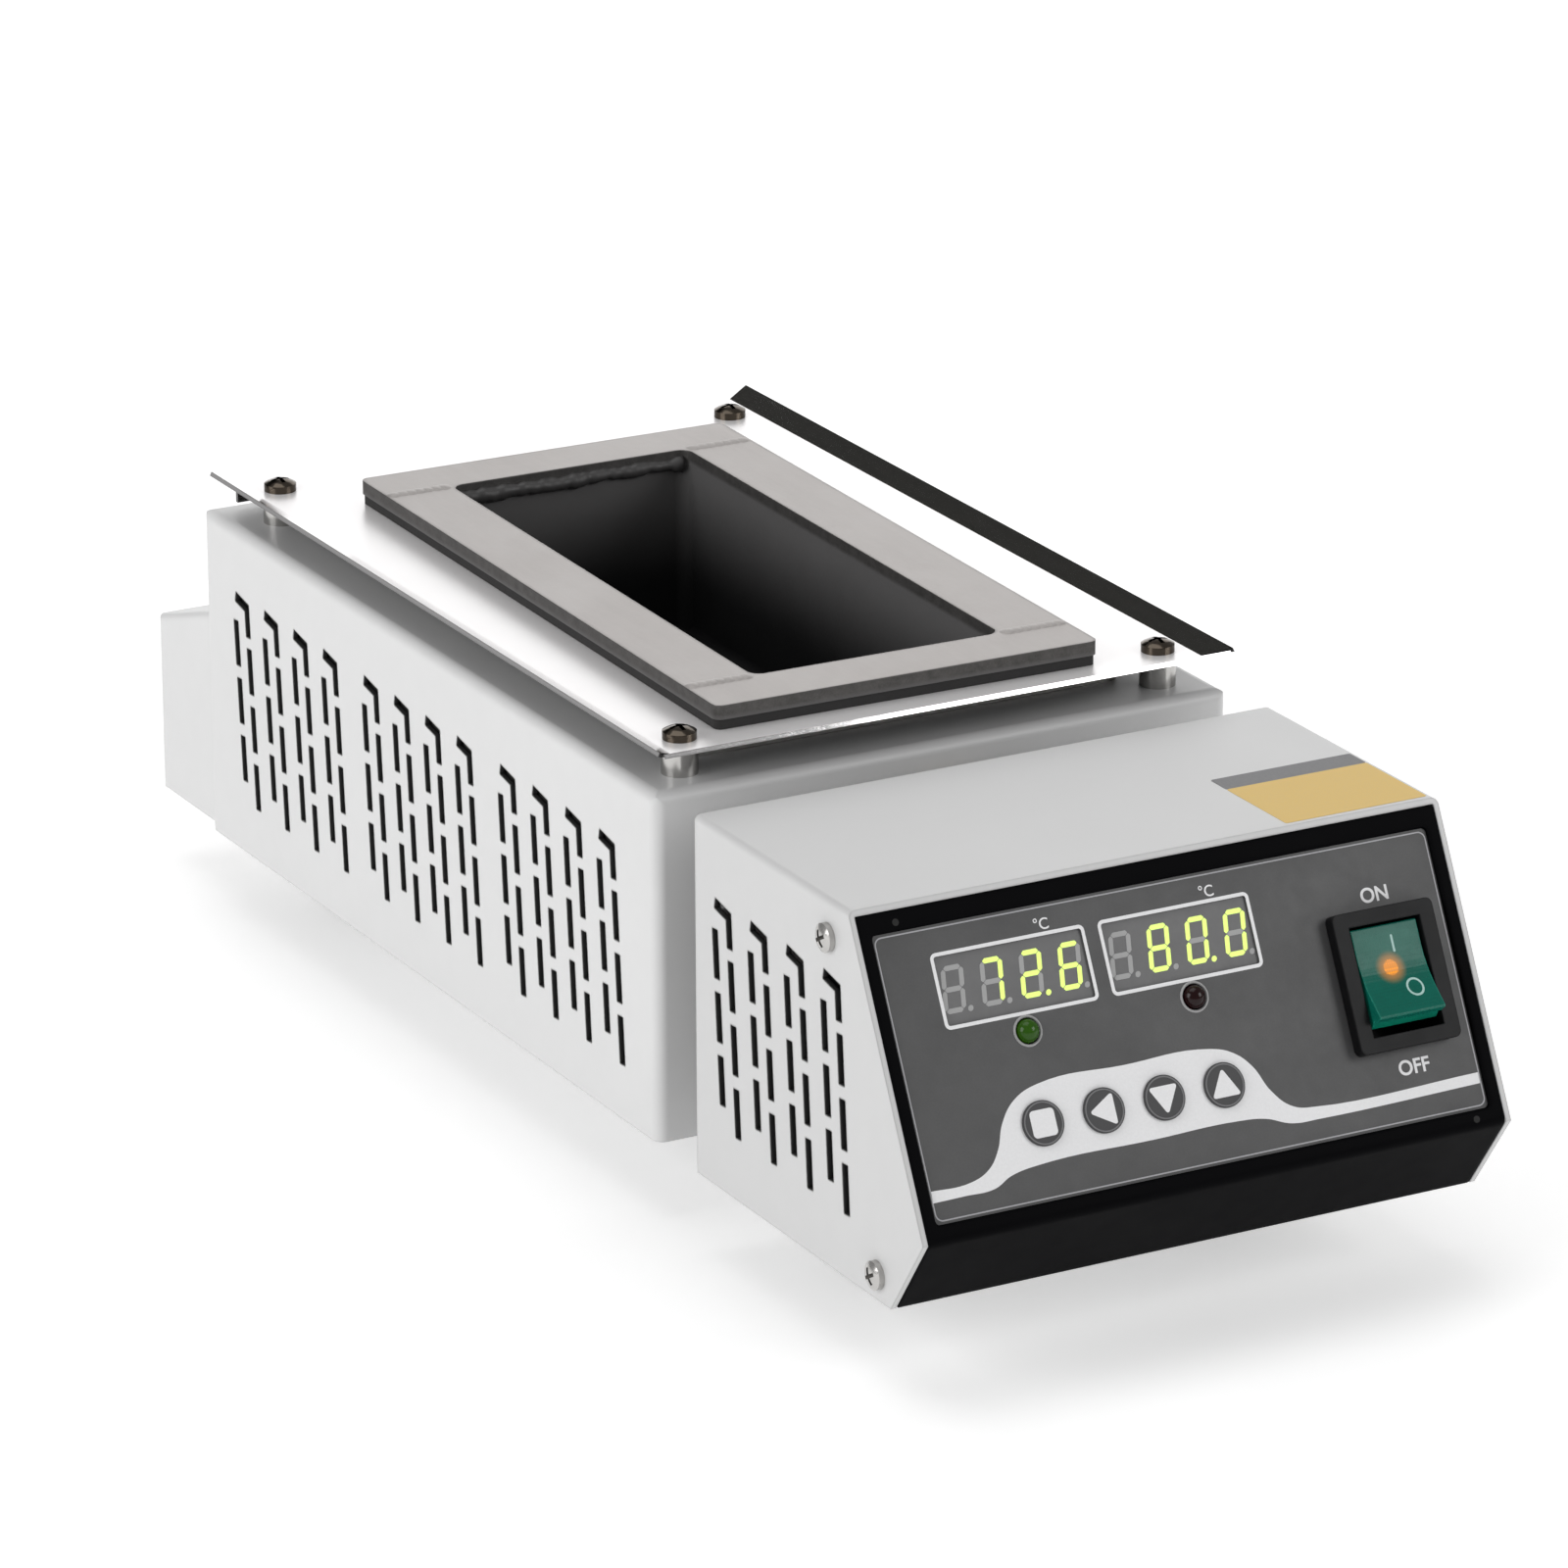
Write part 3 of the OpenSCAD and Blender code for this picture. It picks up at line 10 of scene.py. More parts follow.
import bmesh
import bpy
from mathutils import Matrix, Vector, noise
from mathutils.bvhtree import BVHTree


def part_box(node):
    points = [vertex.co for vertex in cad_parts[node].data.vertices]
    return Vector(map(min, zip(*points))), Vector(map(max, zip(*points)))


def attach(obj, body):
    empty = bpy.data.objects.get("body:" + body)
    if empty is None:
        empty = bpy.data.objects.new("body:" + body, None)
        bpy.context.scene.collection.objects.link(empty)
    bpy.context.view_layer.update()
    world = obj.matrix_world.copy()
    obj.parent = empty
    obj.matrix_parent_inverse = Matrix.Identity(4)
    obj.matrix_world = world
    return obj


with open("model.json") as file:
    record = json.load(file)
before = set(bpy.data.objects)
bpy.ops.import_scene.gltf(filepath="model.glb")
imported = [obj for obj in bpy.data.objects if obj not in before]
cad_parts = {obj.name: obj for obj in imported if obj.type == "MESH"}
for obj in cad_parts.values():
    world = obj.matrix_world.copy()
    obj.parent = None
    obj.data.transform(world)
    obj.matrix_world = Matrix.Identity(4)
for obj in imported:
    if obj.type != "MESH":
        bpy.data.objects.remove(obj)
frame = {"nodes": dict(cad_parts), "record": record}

LOG = logging.getLogger("solder_pot")
MM = 0.001
Colour = tuple[float, float, float]
Point = tuple[float, float]
Range = tuple[float, float]
Socket = bpy.types.NodeSocket
Sockets = bpy.types.bpy_prop_collection
Tree = bpy.types.NodeTree
Shape = bmesh.types.BMesh
Face = bmesh.types.BMFace
Vert = bmesh.types.BMVert


class Axis(Enum):
    """Stretch of the brush lines for each way in which a metal was brushed or rolled."""

    X = (0.06, 1.0, 1.0)
    Y = (1.0, 0.06, 1.0)
    NONE = (1.0, 1.0, 1.0)


class Body(Enum):
    """Bodies of the frame that new pieces ride on."""

    FURNACE = "furnace"
    ROCKER = "rocker"


class Glyph(Enum):
    """Icons on the four keys: a square, or a triangle and its turn in degrees."""

    SQUARE = None
    UP = 0.0
    LEFT = 90.0
    DOWN = 180.0


# ---------------------------------------------------------------- shared effects


def new_group(name: str, inputs: dict[str, object], outputs: Sequence[str]) -> tuple[Tree, Sockets, Sockets]:
    """Starts a node group with named sockets.

    Args:
        name: Name of the group.
        inputs: Input name to its default; a number makes a float socket and a tuple of three a vector.
        outputs: Names of its outputs, all floats.

    Returns:
        The group, what its input node gives, and what its output node takes.
    """
    tree = bpy.data.node_groups.new(name, "ShaderNodeTree")
    for label, value in inputs.items():
        kind = "NodeSocketVector" if isinstance(value, tuple) else "NodeSocketFloat"
        tree.interface.new_socket(name=label, in_out="INPUT", socket_type=kind).default_value = value
    for label in outputs:
        tree.interface.new_socket(name=label, in_out="OUTPUT", socket_type="NodeSocketFloat")
    return tree, tree.nodes.new("NodeGroupInput").outputs, tree.nodes.new("NodeGroupOutput").inputs


def put(tree: Tree, kind: str, **settings: object) -> bpy.types.Node:
    """Adds a node.

    Args:
        tree: Tree that gets the node.
        kind: Blender's type name, without ShaderNode.
        settings: Attributes of the node, or, where it has none of that name, values of its inputs.

    Returns:
        The new node.
    """
    node = tree.nodes.new("ShaderNode" + kind)
    for key, value in settings.items():
        if hasattr(node, key):
            setattr(node, key, value)
        else:
            node.inputs[key.replace("_", " ")].default_value = value
    return node


def join(tree: Tree, *pairs: tuple[Socket, Socket]) -> None:
    """Links outputs to inputs, pair by pair."""
    for source, target in pairs:
        tree.links.new(source, target)


def maths(tree: Tree, operation: str, *values: object) -> Socket:
    """Adds a Math node.

    Args:
        tree: Tree that gets the node.
        operation: Name of the operation.
        values: Numbers or sockets for its inputs, in order.

    Returns:
        The node's output.
    """
    node = put(tree, "Math", operation=operation)
    for target, value in zip(node.inputs, values):
        if isinstance(value, (int, float)):
            target.default_value = value
        else:
            tree.links.new(value, target)
    return node.outputs[0]


def grain_group() -> Tree:
    """Makes two sizes of noise: a value for tints and roughness, and a height for bumps.

    Returns:
        The group.
    """
    tree, entry, end = new_group("grain", {"Vector": (0.0, 0.0, 0.0), "Scale": 1.0}, ("Value", "Height"))
    broad = put(tree, "TexNoise", Detail=5.0, Roughness=0.6)
    fine = put(tree, "TexNoise", Detail=2.0, Roughness=0.5)
    spread = put(tree, "MapRange", clamp=True, From_Min=0.3, From_Max=0.7)
    both = maths(tree, "ADD", maths(tree, "MULTIPLY", broad.outputs[0], 0.65),
                 maths(tree, "MULTIPLY", fine.outputs[0], 0.35))
    join(tree, (entry["Vector"], broad.inputs["Vector"]), (entry["Vector"], fine.inputs["Vector"]),
         (entry["Scale"], broad.inputs["Scale"]),
         (maths(tree, "MULTIPLY", entry["Scale"], 6.0), fine.inputs["Scale"]),
         (both, spread.inputs["Value"]), (spread.outputs[0], end["Value"]), (both, end["Height"]))
    return tree


def edge_group() -> Tree:
    """Makes a mask that is 1 along the outer edges and broken up a little, for wear and heat marks, and for the painted
    shade along the rims of the vent slots.

    Returns:
        The group.
    """
    tree, entry, end = new_group(
        "edges", {"Vector": (0.0, 0.0, 0.0), "Radius": 0.001, "Strength": 4.0, "Breakup": 400.0}, ("Mask",))
    rounded = put(tree, "Bevel", samples=4)
    flat = put(tree, "NewGeometry")
    turned = put(tree, "VectorMath", operation="DOT_PRODUCT")
    speck = put(tree, "TexNoise", Detail=3.0)
    limit = put(tree, "Clamp")
    edge = maths(tree, "MULTIPLY", maths(tree, "SUBTRACT", 1.0, turned.outputs["Value"]), entry["Strength"])
    share = maths(tree, "ADD", maths(tree, "MULTIPLY", speck.outputs[0], 1.2), 0.3)
    join(tree, (entry["Radius"], rounded.inputs["Radius"]), (rounded.outputs[0], turned.inputs[0]),
         (flat.outputs["Normal"], turned.inputs[1]), (entry["Vector"], speck.inputs["Vector"]),
         (entry["Breakup"], speck.inputs["Scale"]), (maths(tree, "MULTIPLY", edge, share), limit.inputs[0]),
         (limit.outputs[0], end["Mask"]))
    return tree


def dots_group() -> Tree:
    """Makes a mask of regular fine dots, as on moulded light covers.

    Returns:
        The group.
    """
    tree, entry, end = new_group("dots", {"Vector": (0.0, 0.0, 0.0), "Scale": 1000.0, "Size": 0.35}, ("Mask",))
    cells = put(tree, "TexVoronoi", feature="F1", Randomness=0.0)
    dot = put(tree, "MapRange", clamp=True, interpolation_type="SMOOTHSTEP", From_Min=0.0, To_Min=1.0, To_Max=0.0)
    join(tree, (entry["Vector"], cells.inputs["Vector"]), (entry["Scale"], cells.inputs["Scale"]),
         (cells.outputs["Distance"], dot.inputs["Value"]), (entry["Size"], dot.inputs["From Max"]),
         (dot.outputs[0], end["Mask"]))
    return tree


class Effects:
    """Makes each shared node group once and keeps it."""

    makers: dict[str, Callable[[], Tree]] = {"grain": grain_group, "edges": edge_group, "dots": dots_group}
    made: dict[str, Tree] = {}

    @classmethod
    def get(cls, name: str) -> Tree:
        """Finds a group, and makes it on first use.

        Args:
            name: Name of the group.

        Returns:
            The group.
        """
        if name not in cls.made:
            cls.made[name] = cls.makers[name]()
        return cls.made[name]


class Net:
    """A material's tree with its Principled shader, and short calls for what the finishes share."""

    def __init__(self, name: str, **constants: object) -> None:
        """Starts the material.

        Args:
            name: Name of the material.
            constants: Values set directly on the Principled shader's sockets.
        """
        self.material = bpy.data.materials.new(name)
        self.material.use_nodes = True
        self.tree = self.material.node_tree
        self.shader = self.tree.nodes["Principled BSDF"]
        for key, value in constants.items():
            self.shader.inputs[key.replace("_", " ")].default_value = value

    def coords(self, stretch: Sequence[float] = (1.0, 1.0, 1.0), turn: Sequence[float] = (0.0, 0.0, 0.0)) -> Socket:
        """Object coordinates through a Mapping node.

        Args:
            stretch: Scale of the pattern on each axis.
            turn: Turn of the pattern in radians.

        Returns:
            The mapped coordinates.
        """
        mapping = put(self.tree, "Mapping", Scale=stretch, Rotation=turn)
        self.tree.links.new(put(self.tree, "TexCoord").outputs["Object"], mapping.inputs["Vector"])
        return mapping.outputs[0]

    def effect(self, name: str, vector: Socket, **values: float) -> Sockets:
        """Places a shared group.

        Args:
            name: Name of the group.
            vector: Coordinates that it reads.
            values: Its other inputs.

        Returns:
            The group's outputs.
        """
        node = self.tree.nodes.new("ShaderNodeGroup")
        node.node_tree = Effects.get(name)
        self.tree.links.new(vector, node.inputs["Vector"])
        for key, value in values.items():
            node.inputs[key].default_value = value
        return node.outputs

    def grain(self, vector: Socket, scale: float) -> tuple[Socket, Socket]:
        """The shared grain at a scale: its value and its height."""
        out = self.effect("grain", vector, Scale=scale)
        return out["Value"], out["Height"]

    def edges(self, vector: Socket, radius: float, strength: float, breakup: float) -> Socket:
        """The shared mask along the outer edges."""
        return self.effect("edges", vector, Radius=radius, Strength=strength, Breakup=breakup)["Mask"]

    def axes(self, vector: Socket | None = None) -> tuple[Socket, ...]:
        """Splits a vector.

        Args:
            vector: The vector, or None for the direction that the surface faces.

        Returns:
            Its X, Y and Z.
        """
        node = put(self.tree, "SeparateXYZ")
        source = put(self.tree, "NewGeometry").outputs["Normal"] if vector is None else vector
        self.tree.links.new(source, node.inputs[0])
        return tuple(node.outputs)

    def mix(self, factor: Socket, first: object, second: object) -> Socket:
        """Blends two colours.

        Args:
            factor: Share of the second colour.
            first: Colour or socket at factor 0.
            second: Colour or socket at factor 1.

        Returns:
            The blended colour.
        """
        node = put(self.tree, "Mix", data_type="RGBA")
        self.tree.links.new(factor, node.inputs[0])
        for index, value in ((6, first), (7, second)):
            if isinstance(value, tuple):
                node.inputs[index].default_value = (*value, 1.0)
            else:
                self.tree.links.new(value, node.inputs[index])
        return node.outputs[2]

    def spread(self, value: Socket, low: float, high: float, start: float = 0.0, end: float = 1.0,
               smooth: bool = False) -> Socket:
        """Maps a value from start..end to low..high, clamped.

        Args:
            value: What is mapped.
            low: Result at start.
            high: Result at end.
            start: Lower end of the input.
            end: Upper end of the input.
            smooth: Eases both ends.

        Returns:
            The mapped value.
        """
        node = put(self.tree, "MapRange", clamp=True, interpolation_type="SMOOTHSTEP" if smooth else "LINEAR",
                   From_Min=start, From_Max=end, To_Min=low, To_Max=high)
        self.tree.links.new(value, node.inputs["Value"])
        return node.outputs[0]

    def fall(self, vector: Socket, low: float, high: float) -> Socket:
        """Goes from 1 at a low height to 0 at a high one, eased."""
        return self.spread(self.axes(vector)[2], 1.0, 0.0, low, high, smooth=True)

    def within(self, value: Socket, low: float, high: float) -> Socket:
        """Gives 1 where a value lies in a range and 0 outside it."""
        return maths(self.tree, "COMPARE", value, (low + high) / 2, (high - low) / 2)

    def feed(self, socket: str, value: Socket) -> None:
        """Links a value to a socket of the Principled shader."""
        self.tree.links.new(value, self.shader.inputs[socket])

    def gloss(self, value: Socket, middle: float, down: float, up: float) -> None:
        """Feeds Roughness with a value spread from a little below its middle to a little above."""
        self.feed("Roughness", self.spread(value, middle - down, middle + up))

    def bump(self, height: Socket, strength: float, depth: float, soft: float = 0.0) -> None:
        """Feeds Normal with a bump.

        Args:
            height: Height pattern from 0 to 1.
            strength: Strength of the bump.
            depth: Height of the pattern in metres.
            soft: Radius to which sharp edges look rounded, in metres.
        """
        node = put(self.tree, "Bump", Strength=strength, Distance=depth)
        if soft:
            edge = put(self.tree, "Bevel", samples=6, Radius=soft)
            self.tree.links.new(edge.outputs[0], node.inputs["Normal"])
        self.tree.links.new(height, node.inputs["Height"])
        self.feed("Normal", node.outputs[0])


# ---------------------------------------------------------------- finishes


@dataclass(frozen=True)
class Finish:
    """A named finish. Each kind builds its own material."""

    name: str
    colour: Colour

    def build(self) -> bpy.types.Material:
        """Makes the material."""
        raise NotImplementedError

    @property
    def title(self) -> str:
        """Name of the material, apart from the plain one that the record's slot brings."""
        return self.name + "_look"

    def get(self) -> bpy.types.Material:
        """The material, made on first use."""
        return bpy.data.materials.get(self.title) or self.build()

    def shade(self, factor: float) -> Colour:
        """The finish's colour made lighter or darker."""
        return tuple(min(1.0, c * factor) for c in self.colour)

    def tint(self, net: Net, value: Socket, first: float, second: float) -> Socket:
        """The finish's colour, from one shade to another along a value."""
        return net.mix(value, self.shade(first), self.shade(second))


@dataclass(frozen=True)
class PowderCoat(Finish):
    """Sprayed and baked paint: fine orange peel, slightly uneven gloss, thinner along the bends.

    Painted shade darkens the punched walls and rims of the vent slots to the cut colour. They are found by where the
    side walls stand (wall), by where the slots lie from rear to front and from low to high (slots), and by faces that
    look along the wall but don't lean like its folds (leaning: middle and half width of how far a face looks up).
    """

    roughness: float = 0.42
    peel: float = 0.00003
    # cut is the colour of the painted shade in the vent slots; rim, rim_strength and rim_breakup shape that painted
    # shade along their rims.
    cut: Colour = (0.03, 0.03, 0.03)
    rim: float = 0.0007
    rim_strength: float = 12.0
    rim_breakup: float = 60.0
    wall: Range = (0.0685, 0.0702)
    leaning: Range = (0.55, 0.32)
    slots: tuple[Range, Range] = ((0.0, 0.0), (0.0, 0.0))

    def painted_slot_shade(self, net: Net, place: Socket) -> Socket:
        """Marks the punched walls and rims of the vent slots, where shade is painted.

        Args:
            net: The material.
            place: Object coordinates.

        Returns:
            A mask, 1 on the walls and along the rims of the slots.
        """
        tree = net.tree
        x, y, z = net.axes(place)
        outwards, _, upwards = net.axes()
        inside = net.within(maths(tree, "ABSOLUTE", x), *self.wall)
        for value, ends in zip((y, z), self.slots):
            inside = maths(tree, "MULTIPLY", inside, net.within(value, *ends))
        leaning, half = self.leaning
        off = maths(tree, "ABSOLUTE", maths(tree, "SUBTRACT", maths(tree, "ABSOLUTE", upwards), leaning))
        punched = maths(tree, "MULTIPLY", net.within(outwards, -0.5, 0.5), maths(tree, "GREATER_THAN", off, half))
        rim = net.edges(place, self.rim, self.rim_strength, self.rim_breakup)
        return maths(tree, "MULTIPLY", inside, maths(tree, "MAXIMUM", punched, rim))

    def build(self) -> bpy.types.Material:
        """Makes the material.

        Returns:
            The new material.
        """
        net = Net(self.title, Coat_Weight=0.12, Coat_Roughness=0.25)
        place = net.coords()
        cloud, _ = net.grain(place, 28.0)
        _, peel = net.grain(place, 900.0)
        edge = net.edges(place, 0.0012, 1.6, 300.0)
        paint = net.mix(edge, self.tint(net, cloud, 0.975, 1.02), self.shade(0.86))
        # Painted shade on the walls and rims of the vent slots.
        net.feed("Base Color", net.mix(self.painted_slot_shade(net, place), paint, self.cut))
        net.gloss(cloud, self.roughness, 0.05, 0.06)
        net.bump(peel, 0.25, self.peel, soft=0.0006)
        return net.material


@dataclass(frozen=True)
class Metal(Finish):
    """Plain or plated metal with brush lines, cloudy tint and handling scuffs."""

    roughness: float = 0.3
    grain: Axis = Axis.NONE
    lines: float = 0.000004
    scuff: float = 0.06

    def build(self) -> bpy.types.Material:
        """Makes the material.

        Returns:
            The new material.
        """
        net = Net(self.title, Metallic=1.0)
        lines, height = net.grain(net.coords(self.grain.value), 700.0)
        cloud, _ = net.grain(net.coords(), 45.0)
        edge = net.edges(net.coords(), 0.0006, 1.5, 600.0)
        net.feed("Base Color", net.mix(edge, self.tint(net, cloud, 0.93, 1.03), self.shade(0.82)))
        net.gloss(lines, self.roughness, self.scuff, self.scuff)
        net.bump(height, 0.5, self.lines)
        return net.material


@dataclass(frozen=True)
class MirrorSteel(Finish):
    """Stainless sheet: bright satin where it lies flat, polished like a mirror on the raised lips, with a painted dark
    reflection below.

    How far a face looks up tells them apart: from level[0] to level[1] it turns to satin, and from hang down to 0 it
    turns dark, a painted reflection of the shaded housing under the tray.
    """

    roughness: float = 0.05
    satin: float = 0.3
    flat_metal: float = 0.35
    painted_underside_reflection: float = 0.14
    level: Range = (0.94, 0.985)
    hang: float = 0.25

    def build(self) -> bpy.types.Material:
        """Makes the material.

        Returns:
            The new material.
        """
        net = Net(self.title)
        hair, _ = net.grain(net.coords((1.0, 0.04, 1.0), (0.0, 0.0, 0.4)), 1600.0)
        wave, swell = net.grain(net.coords(), 9.0)
        edge = net.edges(net.coords(), 0.0008, 2.2, 500.0)
        upwards = net.axes()[2]
        flat = net.spread(upwards, 0.0, 1.0, *self.level)
        sheet = net.mix(edge, self.tint(net, wave, 0.98, 1.02), self.shade(0.55))
        # Faces that look down get a painted dark reflection.
        below = net.spread(upwards, 1.0, 0.0, 0.0, self.hang)
        net.feed("Base Color", net.mix(below, sheet, self.shade(self.painted_underside_reflection)))
        net.feed("Metallic", net.spread(flat, 1.0, self.flat_metal))
        fine = net.spread(hair, self.roughness - 0.02, self.roughness + 0.05)
        net.feed("Roughness", maths(net.tree, "MAXIMUM", fine, maths(net.tree, "MULTIPLY", flat, self.satin)))
        net.bump(swell, 0.12, 0.0006)
        return net.material


@dataclass(frozen=True)
class HeatStainedWithPaintedShade(Finish):
    """Thick welded steel after heating: clouded greys on top, dark cut edges, and painted shade down inside, from a
    painted lighter band under the rim to black.

    Heights are in metres: top is the rim's upper face, the inside starts rim below it and is blackest another fade
    below, and the skin gives way to the inside within seam.
    """

    # Painted shade deep in the cavity, and a painted lighter band just under the rim.
    inside: Colour = (0.011, 0.011, 0.0115)
    painted_brow_light: Colour = (0.13, 0.127, 0.127)
    edge: Colour = (0.075, 0.073, 0.07)
    speck: Colour = (0.2, 0.19, 0.185)
    top: float = 0.1105
    rim: float = 0.0034
    seam: Range = (0.0036, 0.0026)
    fade: float = 0.03

    def build(self) -> bpy.types.Material:
        """Makes the material.

        Returns:
            The new material.
        """
        net = Net(self.title, Specular_IOR_Level=0.4)
        place = net.coords()
        cloud, _ = net.grain(place, 38.0)
        speck, pits = net.grain(place, 420.0)
        brushed, _ = net.grain(net.coords((1.0, 0.08, 1.0)), 300.0)
        skin = net.mix(net.spread(brushed, 0.0, 0.35), self.tint(net, cloud, 0.86, 1.1), self.shade(0.8))
        skin = net.mix(net.edges(place, 0.0016, 3.0, 300.0), skin, self.shade(0.4))
        side = net.spread(net.axes()[2], 1.0, 0.0, 0.35, 0.75)
        skin = net.mix(side, skin, net.mix(net.spread(speck, 0.0, 0.5), self.edge, self.speck))
        start = self.top - self.rim
        # Painted shade in the cavity: a lighter band just under the rim, turning black a fade further down.
        dark = net.mix(net.fall(place, start - self.fade, start), self.painted_brow_light, self.inside)
        below = net.spread(net.axes(place)[2], 1.0, 0.0, *(self.top - drop for drop in self.seam))
        net.feed("Base Color", net.mix(below, skin, dark))
        net.feed("Metallic", net.spread(below, 0.55, 0.1))
        net.feed("Roughness", net.spread(cloud, 0.4, 0.56))
        net.bump(pits, 0.4, 0.0001, soft=0.0004)
        return net.material


@dataclass(frozen=True)
class Mineral(Finish):
    """Fired clay, wool board or fibre gasket: matt, speckled and slightly rough."""

    roughness: float = 0.8
    scale: float = 300.0
    depth: float = 0.0002
    contrast: float = 0.18
    glaze: float = 0.0

    def build(self) -> bpy.types.Material:
        """Makes the material.

        Returns:
            The new material.
        """
        net = Net(self.title, Coat_Weight=self.glaze, Coat_Roughness=0.1)
        place = net.coords()
        speck, pores = net.grain(place, self.scale)
        cloud, _ = net.grain(place, self.scale / 9.0)
        tint = self.tint(net, speck, 1.0 - self.contrast, 1.0 + self.contrast)
        net.feed("Base Color", net.mix(net.spread(cloud, 0.0, 0.4), tint, self.shade(0.8)))
        net.gloss(speck, self.roughness, 0.08, 0.08)
        net.bump(pores, 0.6, self.depth)
        return net.material


@dataclass(frozen=True)
class Moulded(Finish):
    """Moulded plastic or rubber: spark-eroded grain, uneven gloss and rubbed edges."""

    roughness: float = 0.38
    scale: float = 1500.0
    depth: float = 0.00003
    rubbed: float = 1.7
    soft: float = 0.0004
    shine: float = 0.35

    def build(self) -> bpy.types.Material:
        """Makes the material.

        Returns:
            The new material.
        """
        net = Net(self.title, Specular_IOR_Level=self.shine)
        place = net.coords()
        _, skin = net.grain(place, self.scale)
        cloud, _ = net.grain(place, 35.0)
        edge = net.edges(place, 0.0007, 1.6, 500.0)
        net.feed("Base Color", net.mix(edge, self.tint(net, cloud, 0.88, 1.12), self.shade(self.rubbed)))
        net.gloss(cloud, self.roughness, 0.05, 0.07)
        net.bump(skin, 0.35, self.depth, soft=self.soft)
        return net.material


@dataclass(frozen=True)
class Film(Finish):
    """Printed film with a fine velvet texture."""

    roughness: float = 0.45

    def build(self) -> bpy.types.Material:
        """Makes the material.

        Returns:
            The new material.
        """
        net = Net(self.title, Specular_IOR_Level=0.45)
        place = net.coords()
        velvet, nap = net.grain(place, 2600.0)
        cloud, _ = net.grain(place, 60.0)
        tint = self.tint(net, velvet, 0.9, 1.1)
        net.feed("Base Color", net.mix(net.spread(cloud, 0.0, 0.35), tint, self.shade(0.9)))
        net.gloss(cloud, self.roughness, 0.04, 0.08)
        net.bump(nap, 0.3, 0.00002)
        return net.material


@dataclass(frozen=True)
class Lens(Finish):
    """Clear tinted plastic over a lamp or a light box, with an inner glow and another colour up at its tip."""

    tip: Colour = (1.0, 1.0, 1.0)
    low: float = 0.0
    high: float = 0.1
    glow: float = 0.0
    coat: float = 0.5
    roughness: float = 0.22

    def build(self) -> bpy.types.Material:
        """Makes the material.

        Returns:
            The new material.
        """
        net = Net(self.title, Coat_Weight=self.coat, Coat_Roughness=0.12, Specular_IOR_Level=0.25,
                  Emission_Strength=self.glow)
        place = net.coords()
        cloud, waves = net.grain(place, 160.0)
        body = net.mix(net.fall(place, self.low, self.high), self.colour, self.tip)
        body = net.mix(net.spread(cloud, 0.0, 0.3), body, self.shade(0.7))
        net.feed("Base Color", body)
        net.feed("Emission Color", body)
        net.gloss(cloud, self.roughness, 0.05, 0.08)
        net.bump(waves, 0.1, 0.00005)
        return net.material


@dataclass(frozen=True)
class Ink(Finish):
    """Screen-printed ink, or a lit segment where it has a glow."""

    glow: float = 0.0
    roughness: float = 0.5

    def build(self) -> bpy.types.Material:
        """Makes the material.

        Returns:
            The new material.
        """
        net = Net(self.title, Emission_Strength=self.glow)
        pores, _ = net.grain(net.coords(), 1800.0)
        body = self.tint(net, pores, 0.94, 1.03)
        net.feed("Base Color", body)
        if self.glow:
            net.feed("Emission Color", body)
        net.gloss(pores, self.roughness, 0.05, 0.08)
        return net.material


@dataclass(frozen=True)
class Glass(Finish):
    """Clear tube glass with faint waves."""

    def build(self) -> bpy.types.Material:
        """Makes the material.

        Returns:
            The new material.
        """
        net = Net(self.title, Transmission_Weight=0.9, IOR=1.47)
        wave, _ = net.grain(net.coords(), 220.0)
        net.feed("Base Color", self.tint(net, wave, 0.96, 1.0))
        net.feed("Roughness", net.spread(wave, 0.03, 0.08))
        return net.material


